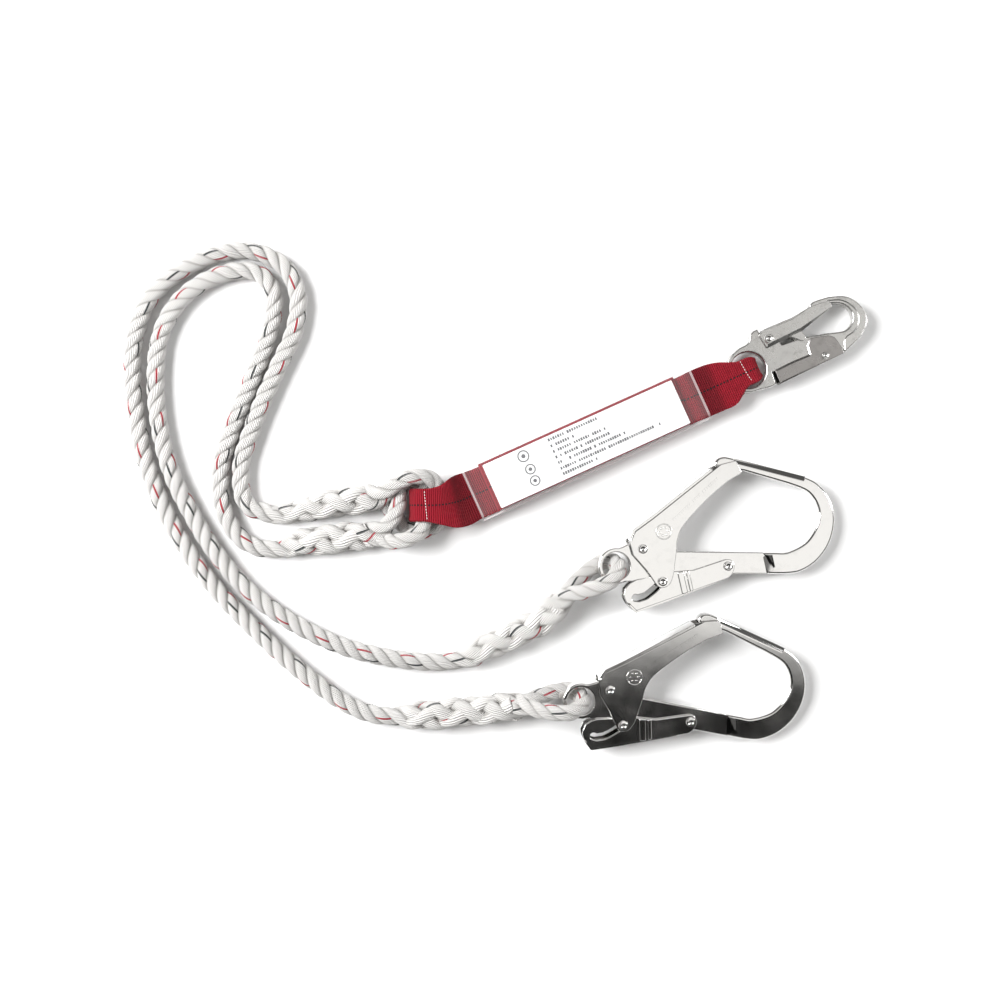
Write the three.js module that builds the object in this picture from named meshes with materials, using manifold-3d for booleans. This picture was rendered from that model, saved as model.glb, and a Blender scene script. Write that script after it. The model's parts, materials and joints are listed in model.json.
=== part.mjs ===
// Shock-absorbing twin lanyard: a sewn energy absorber in a clear sleeve, a snap hook on one end of
// it, and two rope legs on the other end that each finish in a scaffold hook.
// Units are millimetres, +Z is up. The lanyard lies flat on the plane z = 0, and the origin is the
// middle of the absorber pack's underside.
import * as THREE from 'three';
import { mergeVertices } from 'three/addons/utils/BufferGeometryUtils.js';
import Module from 'manifold-3d';

const wasm = await Module();
wasm.setup();

// ---- driving dimensions --------------------------------------------------------------------------
const GAP = 0.3; // running clearance that every neighbour keeps

const ROPE_D = 16; // laid rope
const EYE_R = 7.2; // the rope is squeezed a little where it turns through an eye
const THIMBLE_T = 1;
const THIMBLE_W = 5.4;
// A hook's rope eye turns round the rim of the steel eye and leans over to one side.
const HOOK_EYE = { turn: 16.6, rim: 14.1, lift: 0.8, lean: 30, legs: [[12, 13.6], [24, 8.8], [33, 3.6]] };
const UPPER_LEG_HEADING = 30;
const LOWER_LEG_HEADING = 4.3;

const PACK_ANGLE = 24.3; // degrees from +X, the direction of the absorber pack
const SLEEVE = { length: 223, width: 49.5, height: 24, wall: 0.8, corner: 8 };
const CORE = { length: 196, width: 44.6, bottom: 2.4, top: 21.2, shift: 0.8 };
const LABEL = { length: 184.8, width: 43, thick: 0.4, shift: 0.9 };
const STRAP_T = 2.4;

const SCAFFOLD = {
  ringOuter: 16, ringHole: 12.2,
  shankHalf: 5, bendHalf: 6,
  leverInner: 5.5, leverOuter: 7.5,
  gateInner: 8, gateOuter: 10,
  pivot: [25.6, 9.8], latch: [36.4, -22.2], leverPivot: [97.6, -22.6],
  gateTravel: 30, leverTravel: 6, // degrees
};

const SNAP = {
  ringOuter: 20.3, ringHole: 16.2,
  bodyHalf: 5.5, plateInner: 6, plateOuter: 7.6,
  pivot: [27.7, 18.1], leverPivot: [67.8, -16.1],
};

// Where each hook lies: the middle of its eye, its heading, how far its nose dips and its side lifts.
const UPPER_HOOK = { eye: [25.6, -108, 24], yaw: 12.9, pitch: 4.8, roll: 1 };
const LOWER_HOOK = { eye: [-5.8, -227.4, 24.6], yaw: 2, pitch: 4.8, roll: 5 };
const SNAP_HOOK = { eye: [145.4, 67, 10], yaw: 24, pitch: 0, roll: 0 };

// ---- materials -----------------------------------------------------------------------------------
const finish = (color, roughness, metalness = 0) =>
  new THREE.MeshStandardMaterial({ color, roughness, metalness });
const webbing = finish('#a8122a', 0.85);
const rope = finish('#f1eeea', 0.9);
const plated = finish('#c9c9cb', 0.15, 1);
const satin = finish('#a9aaa6', 0.4, 1);
const spring = finish('#8c8c8f', 0.3, 1);
const card = finish('#f5f5f5', 0.6);
const nylon = finish('#b9b4ad', 0.5);
const clear = new THREE.MeshStandardMaterial({
  color: '#dfe3e2', roughness: 0.15, transparent: true, opacity: 0.35,
});

// ---- solids --------------------------------------------------------------------------------------
function toSolid(geometry) {
  const bare = geometry.clone();
  bare.deleteAttribute('normal');
  bare.deleteAttribute('uv');
  const welded = mergeVertices(bare, 1e-4);
  return new wasm.Manifold(new wasm.Mesh({
    numProp: 3,
    vertProperties: new Float32Array(welded.attributes.position.array),
    triVerts: new Uint32Array(welded.index.array),
  }));
}

function toGeometry(solid) {
  const mesh = solid.getMesh();
  const geometry = new THREE.BufferGeometry();
  geometry.setAttribute('position', new THREE.BufferAttribute(mesh.vertProperties, 3));
  geometry.setIndex(new THREE.BufferAttribute(mesh.triVerts, 1));
  geometry.computeVertexNormals();
  return geometry;
}

// A closed outline. Each run is the end of a straight edge, or a list of points for a smooth curve.
function outline(start, ...runs) {
  const shape = new THREE.Shape();
  shape.moveTo(start[0], start[1]);
  for (const run of runs) {
    if (Array.isArray(run[0])) shape.splineThru(run.map(([x, y]) => new THREE.Vector2(x, y)));
    else shape.lineTo(run[0], run[1]);
  }
  return shape;
}

// A flat plate between two heights.
function plate(shape, low, high, curveSegments = 3) {
  const geometry = new THREE.ExtrudeGeometry(shape, {
    depth: high - low, bevelEnabled: false, steps: 1, curveSegments,
  });
  return toSolid(geometry.translate(0, 0, low));
}

// The same plate on both sides of the middle plane.
function plates(shape, inner, outer, curveSegments) {
  return plate(shape, inner, outer, curveSegments).add(plate(shape, -outer, -inner, curveSegments));
}

function disc([x, y], radius, low, high, sides = 20) {
  const geometry = new THREE.CylinderGeometry(radius, radius, high - low, sides);
  return toSolid(geometry.rotateX(Math.PI / 2).translate(x, y, (low + high) / 2));
}

function box(x0, x1, y0, y1, z0, z1) {
  const geometry = new THREE.BoxGeometry(x1 - x0, y1 - y0, z1 - z0);
  return toSolid(geometry.translate((x0 + x1) / 2, (y0 + y1) / 2, (z0 + z1) / 2));
}

// A rivet or pin with a low head at each end; the heads start at height seat.
function rivet(at, radius, seat, headRadius, headHeight) {
  let solid = disc(at, radius, -seat - 0.1, seat + 0.1, 12);
  for (const side of [-1, 1]) {
    const geometry = new THREE.CylinderGeometry(headRadius * 0.7, headRadius, headHeight, 12);
    geometry.rotateX(side * Math.PI / 2).translate(at[0], at[1], side * (seat + headHeight / 2));
    solid = solid.add(toSolid(geometry));
  }
  return solid;
}

// Joins a list of closed rings of points, all with the same count, into one capped body.
function loft(rings) {
  const count = rings[0].length;
  const position = rings.flat().flatMap((p) => [p.x, p.y, p.z]);
  const index = [];
  for (let r = 0; r < rings.length - 1; r++) {
    for (let k = 0; k < count; k++) {
      const a = r * count + k;
      const b = r * count + (k + 1) % count;
      index.push(a, b, b + count, a, b + count, a + count);
    }
  }
  const last = (rings.length - 1) * count;
  for (let k = 1; k < count - 1; k++) {
    index.push(0, k + 1, k);
    index.push(last, last + k, last + k + 1);
  }
  const geometry = new THREE.BufferGeometry();
  geometry.setAttribute('position', new THREE.Float32BufferAttribute(position, 3));
  geometry.setIndex(index);
  const solid = toSolid(geometry);
  if (solid.volume() > 0) return solid;
  for (let t = 0; t < index.length; t += 3) [index[t], index[t + 1]] = [index[t + 1], index[t]];
  geometry.setIndex(index);
  return toSolid(geometry);
}

const vec = ([x, y, z]) => new THREE.Vector3(x, y, z);

// A round bar whose radius follows the route's fourth numbers.
function taperedBar(route, steps, sides = 12) {
  const path = new THREE.CatmullRomCurve3(route.map(vec), false, 'centripetal');
  const size = new THREE.CatmullRomCurve3(route.map(([, , , r], i) => new THREE.Vector3(i, r, 0)));
  const rings = [];
  for (let s = 0; s <= steps; s++) {
    const t = s / steps;
    const centre = path.getPoint(t);
    const along = path.getTangent(t);
    const side = new THREE.Vector3(0, 0, 1).cross(along).normalize();
    const up = along.clone().cross(side);
    const radius = size.getPoint(t).y;
    rings.push(Array.from({ length: sides }, (_, k) => {
      const angle = (2 * Math.PI * k) / sides;
      return centre.clone()
        .addScaledVector(side, radius * Math.cos(angle))
        .addScaledVector(up, radius * Math.sin(angle));
    }));
  }
  return loft(rings);
}

function circleShape(radius, sides) {
  const corners = Array.from({ length: sides }, (_, k) => {
    const angle = (2 * Math.PI * k) / sides;
    return new THREE.Vector2(radius * Math.cos(angle), radius * Math.sin(angle));
  });
  return new THREE.Shape(corners);
}

function tube(route, radius, steps, sides) {
  const path = new THREE.CatmullRomCurve3(route.map(vec), false, 'centripetal');
  return toSolid(new THREE.ExtrudeGeometry(circleShape(radius, sides), {
    steps, extrudePath: path, bevelEnabled: false,
  }));
}

function named(name, solid, material) {
  const mesh = new THREE.Mesh(toGeometry(solid), material);
  mesh.name = name;
  return mesh;
}

function rotated([x, y], [cx, cy], degrees) {
  const a = THREE.MathUtils.degToRad(degrees);
  const [dx, dy] = [x - cx, y - cy];
  return [cx + dx * Math.cos(a) - dy * Math.sin(a), cy + dx * Math.sin(a) + dy * Math.cos(a)];
}

function placed(group, { eye, yaw, pitch, roll }) {
  const rad = THREE.MathUtils.degToRad;
  group.position.set(...eye);
  group.rotation.set(rad(roll), rad(pitch), rad(yaw), 'ZYX');
  return group;
}

// ---- scaffold hook, in its own frame: eye at 0, nose towards +X, gate on the +Y side --------------
const scaffoldBodyShape = outline(
  [0, 14.6], [9, 15.4],
  [[16, 17], [25.6, 18.9], [33, 16], [37, 9]],
  [44, 3.2], [54.6, 0.8], [140, -19.8],
  [[154.9, -22.6], [172.5, -17.6], [186, -4], [189.6, 10], [183.8, 25.2], [167.7, 36.6]],
  [131, 56.6], [114, 62.8], [107, 66],
  [[106.6, 69.5], [110.5, 73], [117, 73.2], [125, 69.7]],
  [184.5, 39.6],
  [[193.5, 32.4], [200.4, 21.5], [203.4, 9], [202.4, -4.5], [197, -18], [188, -29.5],
    [175, -38.5], [160, -42.7], [146, -41.3]],
  [104, -31.3], [94, -29.8], [62, -25], [46, -19], [30, -17.5], [12, -17], [0, -14.6],
);

const scaffoldGateShape = outline(
  [16, 6.5], [15.2, 20.4], [21, 28], [39.9, 36], [102.5, 65.7], [111.2, 67.3], [125, 67.6],
  [128, 55.8], [113.4, 51.2],
  [[97, 42.7], [79, 31.5], [64.4, 20.5], [57.6, 10.5], [55.4, 3]],
  [50.2, -11.5],
  [[47.3, -19], [42.5, -26], [36.4, -28], [31.9, -26], [29, -20]],
  [24.8, -9.5],
);

// The spine closes the gate's channel along its back, and stops short of the nose.
const scaffoldSpineShape = outline(
  [15.6, 20.9], [21, 28], [39.9, 36], [102.5, 65.7], [103.4, 63.9], [40.8, 34.2], [22.2, 26.3],
  [17.4, 20.3],
);

const scaffoldLeverShape = outline(
  [2.8, -21],
  [[0.4, -28], [2.2, -35.5], [7.7, -44.1]],
  [31.3, -41.6], [95, -33.2],
  [[100.2, -29.8], [103.4, -23.5], [101.5, -17.8], [97, -16.3]],
  [66.9, -19], [49, -16.2], [14, -15.8], [8, -17.4],
);

const scaffoldLeverBackShape = outline(
  [2.2, -35.5], [7.7, -44.1], [31.3, -41.6], [86, -34.4], [85.7, -32.6], [31.1, -39.7],
  [8.7, -42], [4, -34.6],
);

// The latch pin's path through the lever as gate and lever turn together, then on to the slot's end.
function latchSlot() {
  const { pivot, latch, leverPivot, gateTravel, leverTravel } = SCAFFOLD;
  const points = [];
  for (let i = 0; i <= 4; i++) {
    const turn = i / 4;
    const pin = rotated(latch, pivot, -gateTravel * turn);
    points.push(rotated(pin, leverPivot, leverTravel * turn));
  }
  return [...points, [13, -32.2], [10.2, -31.2]];
}

function slotCut(points, halfWidth, low, high) {
  let solid = disc(points[0], halfWidth, low, high, 12);
  for (let i = 1; i < points.length; i++) {
    const [a, b] = [points[i - 1], points[i]];
    const length = Math.hypot(b[0] - a[0], b[1] - a[1]);
    const bar = new THREE.BoxGeometry(length, 2 * halfWidth, high - low);
    bar.rotateZ(Math.atan2(b[1] - a[1], b[0] - a[0]));
    bar.translate((a[0] + b[0]) / 2, (a[1] + b[1]) / 2, (low + high) / 2);
    solid = solid.add(toSolid(bar)).add(disc(b, halfWidth, low, high, 12));
  }
  return solid;
}

function scaffoldBody() {
  const s = SCAFFOLD;
  const ring = disc([0, 0], s.ringOuter, -s.bendHalf, s.bendHalf, 28);
  let body = plate(scaffoldBodyShape, -s.bendHalf, s.bendHalf, 3).add(ring);
  for (const side of [-1, 1]) {
    const [low, high] = side > 0 ? [s.shankHalf, 9] : [-9, -s.shankHalf];
    body = body.subtract(box(-20, 134, -60, 30, low, high));
  }
  body = body.subtract(disc([0, 0], s.ringHole, -9, 9, 28));
  body = body.subtract(disc(s.pivot, 3, -9, 9, 20));
  return body.subtract(disc(s.leverPivot, 3, -9, 9, 20));
}

function scaffoldGate() {
  const s = SCAFFOLD;
  return plates(scaffoldGateShape, s.gateInner, s.gateOuter)
    .add(plate(scaffoldSpineShape, -s.gateOuter, s.gateOuter))
    .subtract(disc(s.pivot, 3, -12, 12, 20))
    .subtract(disc(s.latch, 2.5, -12, 12, 20));
}

function scaffoldLever() {
  const s = SCAFFOLD;
  return plates(scaffoldLeverShape, s.leverInner, s.leverOuter)
    .add(plate(scaffoldLeverBackShape, -s.leverOuter, s.leverOuter))
    .subtract(slotCut(latchSlot(), 3.1, -9, 9))
    .subtract(disc(s.leverPivot, 3, -9, 9, 20));
}

// A one-turn torsion spring between body and gate, with a leg on each.
function torsionSpring(at, radius, low, high, legAngles, legLength) {
  let solid = disc(at, radius, low, high, 20);
  for (const degrees of legAngles) {
    const leg = new THREE.BoxGeometry(legLength, 1.2, high - low);
    leg.translate(legLength / 2, radius - 0.7, (low + high) / 2);
    leg.rotateZ(THREE.MathUtils.degToRad(degrees));
    leg.translate(at[0], at[1], 0);
    solid = solid.add(toSolid(leg));
  }
  return solid.subtract(disc(at, radius - 1.3, low - 1, high + 1, 20));
}

// A bowed leaf in the lever's channel that pushes the lever away from the shank.
function leafSpring(from, to, rise, thick, halfWidth) {
  const middle = [(from[0] + to[0]) / 2, (from[1] + to[1]) / 2 + rise];
  const shape = outline(from, [middle, to], [to[0], to[1] - thick],
    [[middle[0], middle[1] - thick], [from[0], from[1] - thick]]);
  return plate(shape, -halfWidth, halfWidth, 4);
}

function scaffoldHook(prefix, place) {
  const s = SCAFFOLD;
  const group = new THREE.Group();
  group.add(
    named(`${prefix}_body`, scaffoldBody(), plated),
    named(`${prefix}_gate`, scaffoldGate(), plated),
    named(`${prefix}_lock_lever`, scaffoldLever(), plated),
    named(`${prefix}_gate_rivet`, rivet(s.pivot, 2.7, s.gateOuter + GAP, 4.2, 1.3), plated),
    named(`${prefix}_latch_pin`, rivet(s.latch, 2.2, s.gateOuter + GAP, 4.2, 1.3), plated),
    named(`${prefix}_lever_rivet`, rivet(s.leverPivot, 2.7, s.leverOuter + GAP, 4.2, 1.3), plated),
    named(`${prefix}_gate_spring`, torsionSpring(s.pivot, 5.4, 5.6, 7.2, [20, 200], 13), spring),
    named(`${prefix}_lever_spring`, leafSpring([50, -36], [82, -31.8], 2.4, 0.8, 3.5), spring),
  );
  return placed(group, place);
}

// ---- snap hook, in its own frame: eye at 0, nose towards +X, gate on the +Y side ------------------
const snapBodyShape = outline(
  [-4.9, 19.6],
  [[0.4, 21.4], [7.5, 21.9], [11.4, 24.1], [14.4, 28.6], [18.2, 30.4]],
  [22.6, 30.4], [22.6, 24.6],
  [[27.7, 25.1], [33.6, 22], [35, 16.5]],
  [37, 8.6], [58.6, 7.2], [61.5, 5.6], [76.5, 2],
  [[91.4, -2.4], [98.8, -1.1], [104.1, 3.6], [105.6, 11], [101.1, 19.6], [92.1, 24.5]],
  [80, 26], [74.5, 27.6],
  [[73.4, 30], [77.1, 32.4], [84, 32.2]],
  [92.7, 31],
  [[106.2, 25.6], [113.7, 17.1], [117.3, 5.3], [114.8, -4.8], [105.8, -13.3]],
  [85.8, -20.8], [84, -17.2], [62, -15.2], [19, -10.5], [18.4, -21.6],
  [[12.5, -22.2], [3.2, -20.6], [-4.2, -19.7]],
);

const snapGateShape = outline(
  [22.6, 10.9], [58.4, 12.4], [91.3, 21.6], [91.3, 27.7], [75.9, 29.4], [70.8, 29.1],
  [54, 27], [39.5, 27.4], [26.8, 27.6], [21, 24.5],
);

const snapTongueShape = outline(
  [46, 12.6], [53.2, 5.2], [[55.6, 3.9], [58.2, 5], [58.6, 7.8]], [57.6, 12.8],
);

const snapSpineShape = outline(
  [27.6, 27.6], [39.5, 27.4], [54, 27], [70.2, 29], [70.4, 27.2], [54, 25.2], [39.5, 25.7],
  [28, 25.8],
);

const snapLeverShape = outline(
  [21.5, -9.7], [21, -23.1], [84.4, -20.8], [84.2, -14.9],
  [[83.4, -9], [81.6, -3.8], [77.4, -0.6]],
  [68, 2.2], [61.4, 3.4], [60, 2.4], [56.5, -1], [55.4, -9.4], [38.6, -8.9],
);

const snapLeverBackShape = outline([21, -23.1], [82, -20.9], [82, -19.2], [21.1, -21.4]);

function snapBody() {
  const s = SNAP;
  return plate(snapBodyShape, -s.bodyHalf, s.bodyHalf, 3)
    .add(disc([0, 0], s.ringOuter, -s.bodyHalf, s.bodyHalf, 32))
    .subtract(disc([0, 0], s.ringHole, -9, 9, 32))
    .subtract(disc(s.pivot, 2.8, -9, 9, 20))
    .subtract(disc(s.leverPivot, 2.3, -9, 9, 20));
}

function snapGate() {
  const s = SNAP;
  return plates(snapGateShape, s.plateInner, s.plateOuter)
    .add(plates(snapTongueShape, s.plateInner, s.plateOuter))
    .add(plate(snapSpineShape, -s.plateOuter, s.plateOuter))
    .subtract(disc(s.pivot, 2.8, -9, 9, 20));
}

function snapLever() {
  const s = SNAP;
  return plates(snapLeverShape, s.plateInner, s.plateOuter)
    .add(plate(snapLeverBackShape, -s.plateOuter, s.plateOuter))
    .subtract(disc(s.leverPivot, 2.3, -9, 9, 20));
}

function snapHook(place) {
  const s = SNAP;
  // The gate's spring is coiled round its rivet in a round pocket milled into the body.
  const pocket = disc(s.pivot, 5.2, 3.4, 9, 20);
  const group = new THREE.Group();
  group.add(
    named('snap_hook_body', snapBody().subtract(pocket), satin),
    named('snap_hook_gate', snapGate(), satin),
    named('snap_hook_lock_lever', snapLever(), satin),
    named('snap_hook_gate_rivet', rivet(s.pivot, 2.5, s.plateOuter + GAP, 4.4, 1.3), satin),
    named('snap_hook_lever_rivet', rivet(s.leverPivot, 2, s.plateOuter + GAP, 3.2, 1.2), satin),
    named('snap_hook_gate_spring', torsionSpring(s.pivot, 4.7, 3.8, 5.4, [], 0), spring),
    named('snap_hook_lever_spring', leafSpring([30, -19.9], [56, -19], 1.6, 0.8, 3.5), spring),
  );
  return placed(group, place);
}

// ---- absorber pack, in its own frame: long axis X, turned by PACK_ANGLE ---------------------------
function roundedRect(width, height, corner) {
  const shape = new THREE.Shape();
  const [x, y] = [width / 2, height / 2];
  shape.moveTo(-x + corner, -y);
  shape.lineTo(x - corner, -y);
  shape.absarc(x - corner, -y + corner, corner, -Math.PI / 2, 0);
  shape.lineTo(x, y - corner);
  shape.absarc(x - corner, y - corner, corner, 0, Math.PI / 2);
  shape.lineTo(-x + corner, y);
  shape.absarc(-x + corner, y - corner, corner, Math.PI / 2, Math.PI);
  shape.lineTo(-x, -y + corner);
  shape.absarc(-x + corner, -y + corner, corner, Math.PI, 1.5 * Math.PI);
  return shape;
}

// A bar with this cross-section, lying along X.
function barAlongX(shape, length, curveSegments) {
  const geometry = new THREE.ExtrudeGeometry(shape, {
    depth: length, bevelEnabled: false, steps: 1, curveSegments,
  });
  geometry.rotateX(Math.PI / 2).rotateZ(Math.PI / 2).translate(-length / 2, 0, 0);
  return toSolid(geometry);
}

function sleeve() {
  const { length, width, height, wall, corner } = SLEEVE;
  const inner = roundedRect(width - 2 * wall, height - 2 * wall, corner - wall);
  return barAlongX(roundedRect(width, height, corner), length, 4)
    .subtract(barAlongX(inner, length + 2, 4))
    .translate([0, 0, height / 2]);
}

function core() {
  const { length, width, bottom, top, shift } = CORE;
  return barAlongX(roundedRect(width, top - bottom, 4), length, 3)
    .translate([0, shift, (top + bottom) / 2]);
}

function labelCard() {
  const { length, width, thick, shift } = LABEL;
  const low = SLEEVE.height - SLEEVE.wall - GAP - thick;
  const half = width / 2 - 6.5;
  return box(-length / 2, length / 2, shift - half, shift + half, low, low + thick);
}

// A strap follows stations [x, y, z, heading, left half-width, right half-width, tilt]: heading is
// the strap's direction in plan and tilt is how far it has turned over, both in degrees.
function strap(stations) {
  const rad = THREE.MathUtils.degToRad;
  return loft(stations.map(([x, y, z, heading, left, right, tilt]) => {
    const across = new THREE.Vector3(-Math.sin(rad(heading)), Math.cos(rad(heading)), 0);
    const forward = new THREE.Vector3(Math.cos(rad(heading)), Math.sin(rad(heading)), 0);
    const normal = new THREE.Vector3(0, 0, Math.cos(rad(tilt)))
      .addScaledVector(forward, Math.sin(rad(tilt)));
    const corner = (side, face) => new THREE.Vector3(x, y, z)
      .addScaledVector(across, side)
      .addScaledVector(normal, face * STRAP_T / 2);
    return [corner(left, 1), corner(-right, 1), corner(-right, -1), corner(left, -1)];
  }));
}

// The strap over the snap hook's eye, seen from the side: out of the pack, round, and back in.
function hookEndStrap() {
  const turn = [];
  for (let degrees = 90; degrees >= -90; degrees -= 22.5) {
    const a = THREE.MathUtils.degToRad(degrees);
    const half = 8.6 + 3.6 * Math.abs(Math.sin(a));
    turn.push([160.6 + 8.6 * Math.cos(a), 0, 10 + 8 * Math.sin(a), 0, half, half, 90 - degrees]);
  }
  return strap([
    [100, 0, 14.4, 0, 21.6, 22.2, 0],
    [113, 0, 14.8, 0, 22, 22.6, -5],
    [126, 0, 16.2, 0, 21.4, 22.8, -5],
    [138, 0, 17.6, 0, 18.6, 22.4, -3],
    [146, 0, 18, 0, 15, 17.4, 0],
    [153, 0, 18, 0, 12.4, 12.6, 0],
    ...turn,
    [153, 0, 2, 0, 12.4, 12.6, 180],
    [146, 0, 2, 0, 15, 17.4, 180],
    [138, 0, 2.6, 0, 18.6, 22.4, 183],
    [126, 0, 5.6, 0, 21.4, 22.8, 190],
    [113, 0, 8.4, 0, 22, 22.6, 187],
    [100, 0, 9.4, 0, 21.6, 22.2, 180],
  ]);
}

// The strap round both rope eyes. It leaves the pack at the pack's angle and swings level with X.
function ropeEndStrap() {
  const turn = [];
  for (let degrees = 90; degrees >= -90; degrees -= 22.5) {
    const a = THREE.MathUtils.degToRad(degrees);
    turn.push([-142.5 - 14.6 * Math.cos(a), -54, 16.5 + 14.6 * Math.sin(a), 180, 14.6, 14.6,
      90 - degrees]);
  }
  const swing = PACK_ANGLE + 180;
  return strap([
    [-91.6, -41.4, 14.4, swing, 22, 22, 0],
    [-103, -46, 15, swing, 22.4, 22.4, 6],
    [-110.5, -49.4, 18.6, 198, 23.4, 23, 25],
    [-119, -52, 25.4, 190, 22.4, 21.6, 30],
    [-128, -53.5, 29.8, 184, 18.4, 17.6, 12],
    [-137, -54, 31.1, 180, 15.6, 15.4, 0],
    ...turn,
    [-137, -54, 1.9, 180, 15.6, 15.4, 180],
    [-128, -53.5, 1.9, 184, 18.4, 17.6, 180],
    [-119, -52, 3.2, 190, 22.4, 21.6, 170],
    [-110.5, -49.4, 6.4, 198, 23.4, 23, 160],
    [-103, -46, 8.8, swing, 22.4, 22.4, 170],
    [-91.6, -41.4, 9.4, swing, 22, 22, 180],
  ].reverse());
}

function absorber() {
  const group = new THREE.Group();
  group.rotation.z = THREE.MathUtils.degToRad(PACK_ANGLE);
  group.add(
    named('absorber_core', core(), webbing),
    named('label_card', labelCard(), card),
    named('clear_sleeve', sleeve(), clear),
    named('hook_end_webbing', hookEndStrap(), webbing),
  );
  return group;
}

// ---- rope legs -----------------------------------------------------------------------------------
// Each leg runs from its pack splice, over the big bight on the left, to its hook splice.
const LOWER_ROUTE = [
  [-292.4, -59.4, 8.8], [-301, -57, 8.6], [-308.6, -46.6, 8.2], [-310.6, -31, 8.2], [-309.6, -13, 8.2],
  [-303.9, 5, 8.2], [-297.6, 23, 8.2], [-290.4, 41, 8.2], [-274.6, 76, 8.2], [-265, 96, 8.2],
  [-260, 115, 8.2], [-259, 133, 8.2], [-264, 150, 8.2], [-274, 163, 8.2], [-301, 175, 8.2],
  [-332, 172.5, 8.2], [-366, 156.5, 8.2], [-393, 132, 8.2], [-406, 99, 8.2], [-408.6, 68, 8.2],
  [-406, 35, 8.2], [-398.6, -7, 8.2], [-383.6, -49, 8.2], [-363.6, -87, 8.2], [-337.6, -124, 8.2],
  [-303, -161, 8.2], [-263, -198, 8.2], [-223, -228.5, 8.4], [-198, -240.6, 9],
  [-181, -243.8, 9.6], [-172.4, -244, 9.8],
];
const UPPER_ROUTE = [
  [-282.4, -93.3, 8.8], [-291, -93.2, 8.6], [-309, -85.4, 8.2], [-321, -70, 8.2], [-327.6, -52, 8.2],
  [-329, -34, 8.2], [-328.2, -16, 8.2], [-322.6, 3, 8.2], [-316.4, 21, 8.2], [-309.3, 39, 8.2],
  [-293.6, 77, 8.2], [-286, 98, 8.2], [-281.6, 117, 8.2], [-281, 134, 8.2], [-288, 149.5, 8.2],
  [-301, 156.8, 8.2], [-330, 153.5, 8.2], [-362, 134, 8.2], [-382, 102, 8.2], [-387.5, 61, 8.2],
  [-384, 17, 8.2], [-373.4, -24, 8.2], [-355, -62, 8.2], [-331, -100, 8.2], [-301, -133.4, 8.2],
  [-261, -161.5, 8.2], [-212, -183.4, 8.2], [-160, -194, 8.4], [-127, -195.1, 9],
  [-118.4, -193.7, 9.2],
];

// Splices: [x, y, z, radius] from the rope's end to the throat of the eye.
const LOWER_PACK_SPLICE = [
  [-291.6, -59.6, 8.8, 8.4], [-283, -61.8, 9, 8.8], [-269, -61.4, 10, 9.8], [-253, -57.7, 11, 11], [-235, -53.6, 12.5, 12.3],
  [-212, -49.5, 13.2, 12.9], [-190, -47.6, 13.6, 12], [-177.5, -45, 14.4, 9],
];
const UPPER_PACK_SPLICE = [
  [-281.6, -93.3, 8.8, 8.4], [-273, -93.2, 9, 8.8], [-264, -90.8, 10.2, 9.8],
  [-254.4, -87, 12, 11.6],
  [-235, -85, 13.2, 12.9], [-212, -82.4, 13.2, 12.9], [-193, -79.8, 14.6, 12],
  [-181.5, -79.6, 16, 9],
];
const UPPER_HOOK_SPLICE = [
  [-117.6, -193.5, 9.2, 8.4], [-109, -192, 9.6, 9.2], [-99, -187, 12, 11], [-84, -179, 13, 12],
  [-60, -168, 14, 12.6], [-40, -157, 15.4, 12.6], [-24, -142, 18, 12.2], [-13.6, -131.4, 21, 9],
];
const LOWER_HOOK_SPLICE = [
  [-171.6, -244, 9.8, 8.8], [-163, -243.9, 10.4, 9.8], [-152, -243.2, 13, 12.4],
  [-135, -241.8, 13.6, 13], [-105, -238.8, 13.6, 12.4], [-80, -236.4, 14.6, 12.8],
  [-62, -233.4, 18, 12.2], [-49, -230.8, 21, 9],
];

// Eyes: the rope's middle line from the throat, through what it holds, and back to the throat.
const LOWER_PACK_EYE = [
  [-186, -45.6, 16], [-172, -36.4, 26.4], [-159, -29.8, 30], [-147, -28.4, 28.6],
  [-137.8, -31.4, 25], [-130.4, -41.6, 18.4], [-127, -55, 13.4], [-130, -66.4, 11],
  [-139.4, -76, 9.2], [-153.6, -78.4, 8.2], [-164, -72.4, 8], [-173.6, -61, 8.2],
  [-184, -49.6, 11],
];
const UPPER_PACK_EYE = [
  [-186, -79.6, 17], [-177, -71.4, 24], [-170.4, -61.4, 24.4], [-167.4, -51, 18.6],
  [-167.4, -40.4, 11.6], [-158, -31.6, 9.4], [-148, -32.6, 10.6], [-143.4, -44.6, 12.6],
  [-142.8, -57, 15.4], [-144.6, -69.4, 21.2], [-148.6, -78, 25], [-157.6, -83.4, 26.6],
  [-169.4, -86.4, 23.6], [-186, -83.6, 17],
];

function hookEye({ eye }, heading) {
  const a = THREE.MathUtils.degToRad(heading);
  const lean = THREE.MathUtils.degToRad(HOOK_EYE.lean);
  const along = new THREE.Vector3(Math.cos(a), Math.sin(a), 0);
  const up = new THREE.Vector3(Math.sin(a) * Math.sin(lean), -Math.cos(a) * Math.sin(lean),
    Math.cos(lean));
  const middle = vec(eye).addScaledVector(along, -HOOK_EYE.rim);
  middle.z += HOOK_EYE.lift;
  const at = (back, rise) => middle.clone().addScaledVector(along, -back).addScaledVector(up, rise);
  const turn = [90, 60, 30, 0, -30, -60, -90].map((degrees) => {
    const t = THREE.MathUtils.degToRad(degrees);
    return at(-HOOK_EYE.turn * Math.cos(t), HOOK_EYE.turn * Math.sin(t));
  });
  const near = HOOK_EYE.legs.map(([back, rise]) => at(back, rise)).reverse();
  const far = HOOK_EYE.legs.map(([back, rise]) => at(back, -rise));
  return { route: [...near, ...turn, ...far].map((p) => p.toArray()), middle: middle.toArray() };
}

const upperEye = hookEye(UPPER_HOOK, UPPER_LEG_HEADING);
const lowerEye = hookEye(LOWER_HOOK, LOWER_LEG_HEADING);

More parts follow.
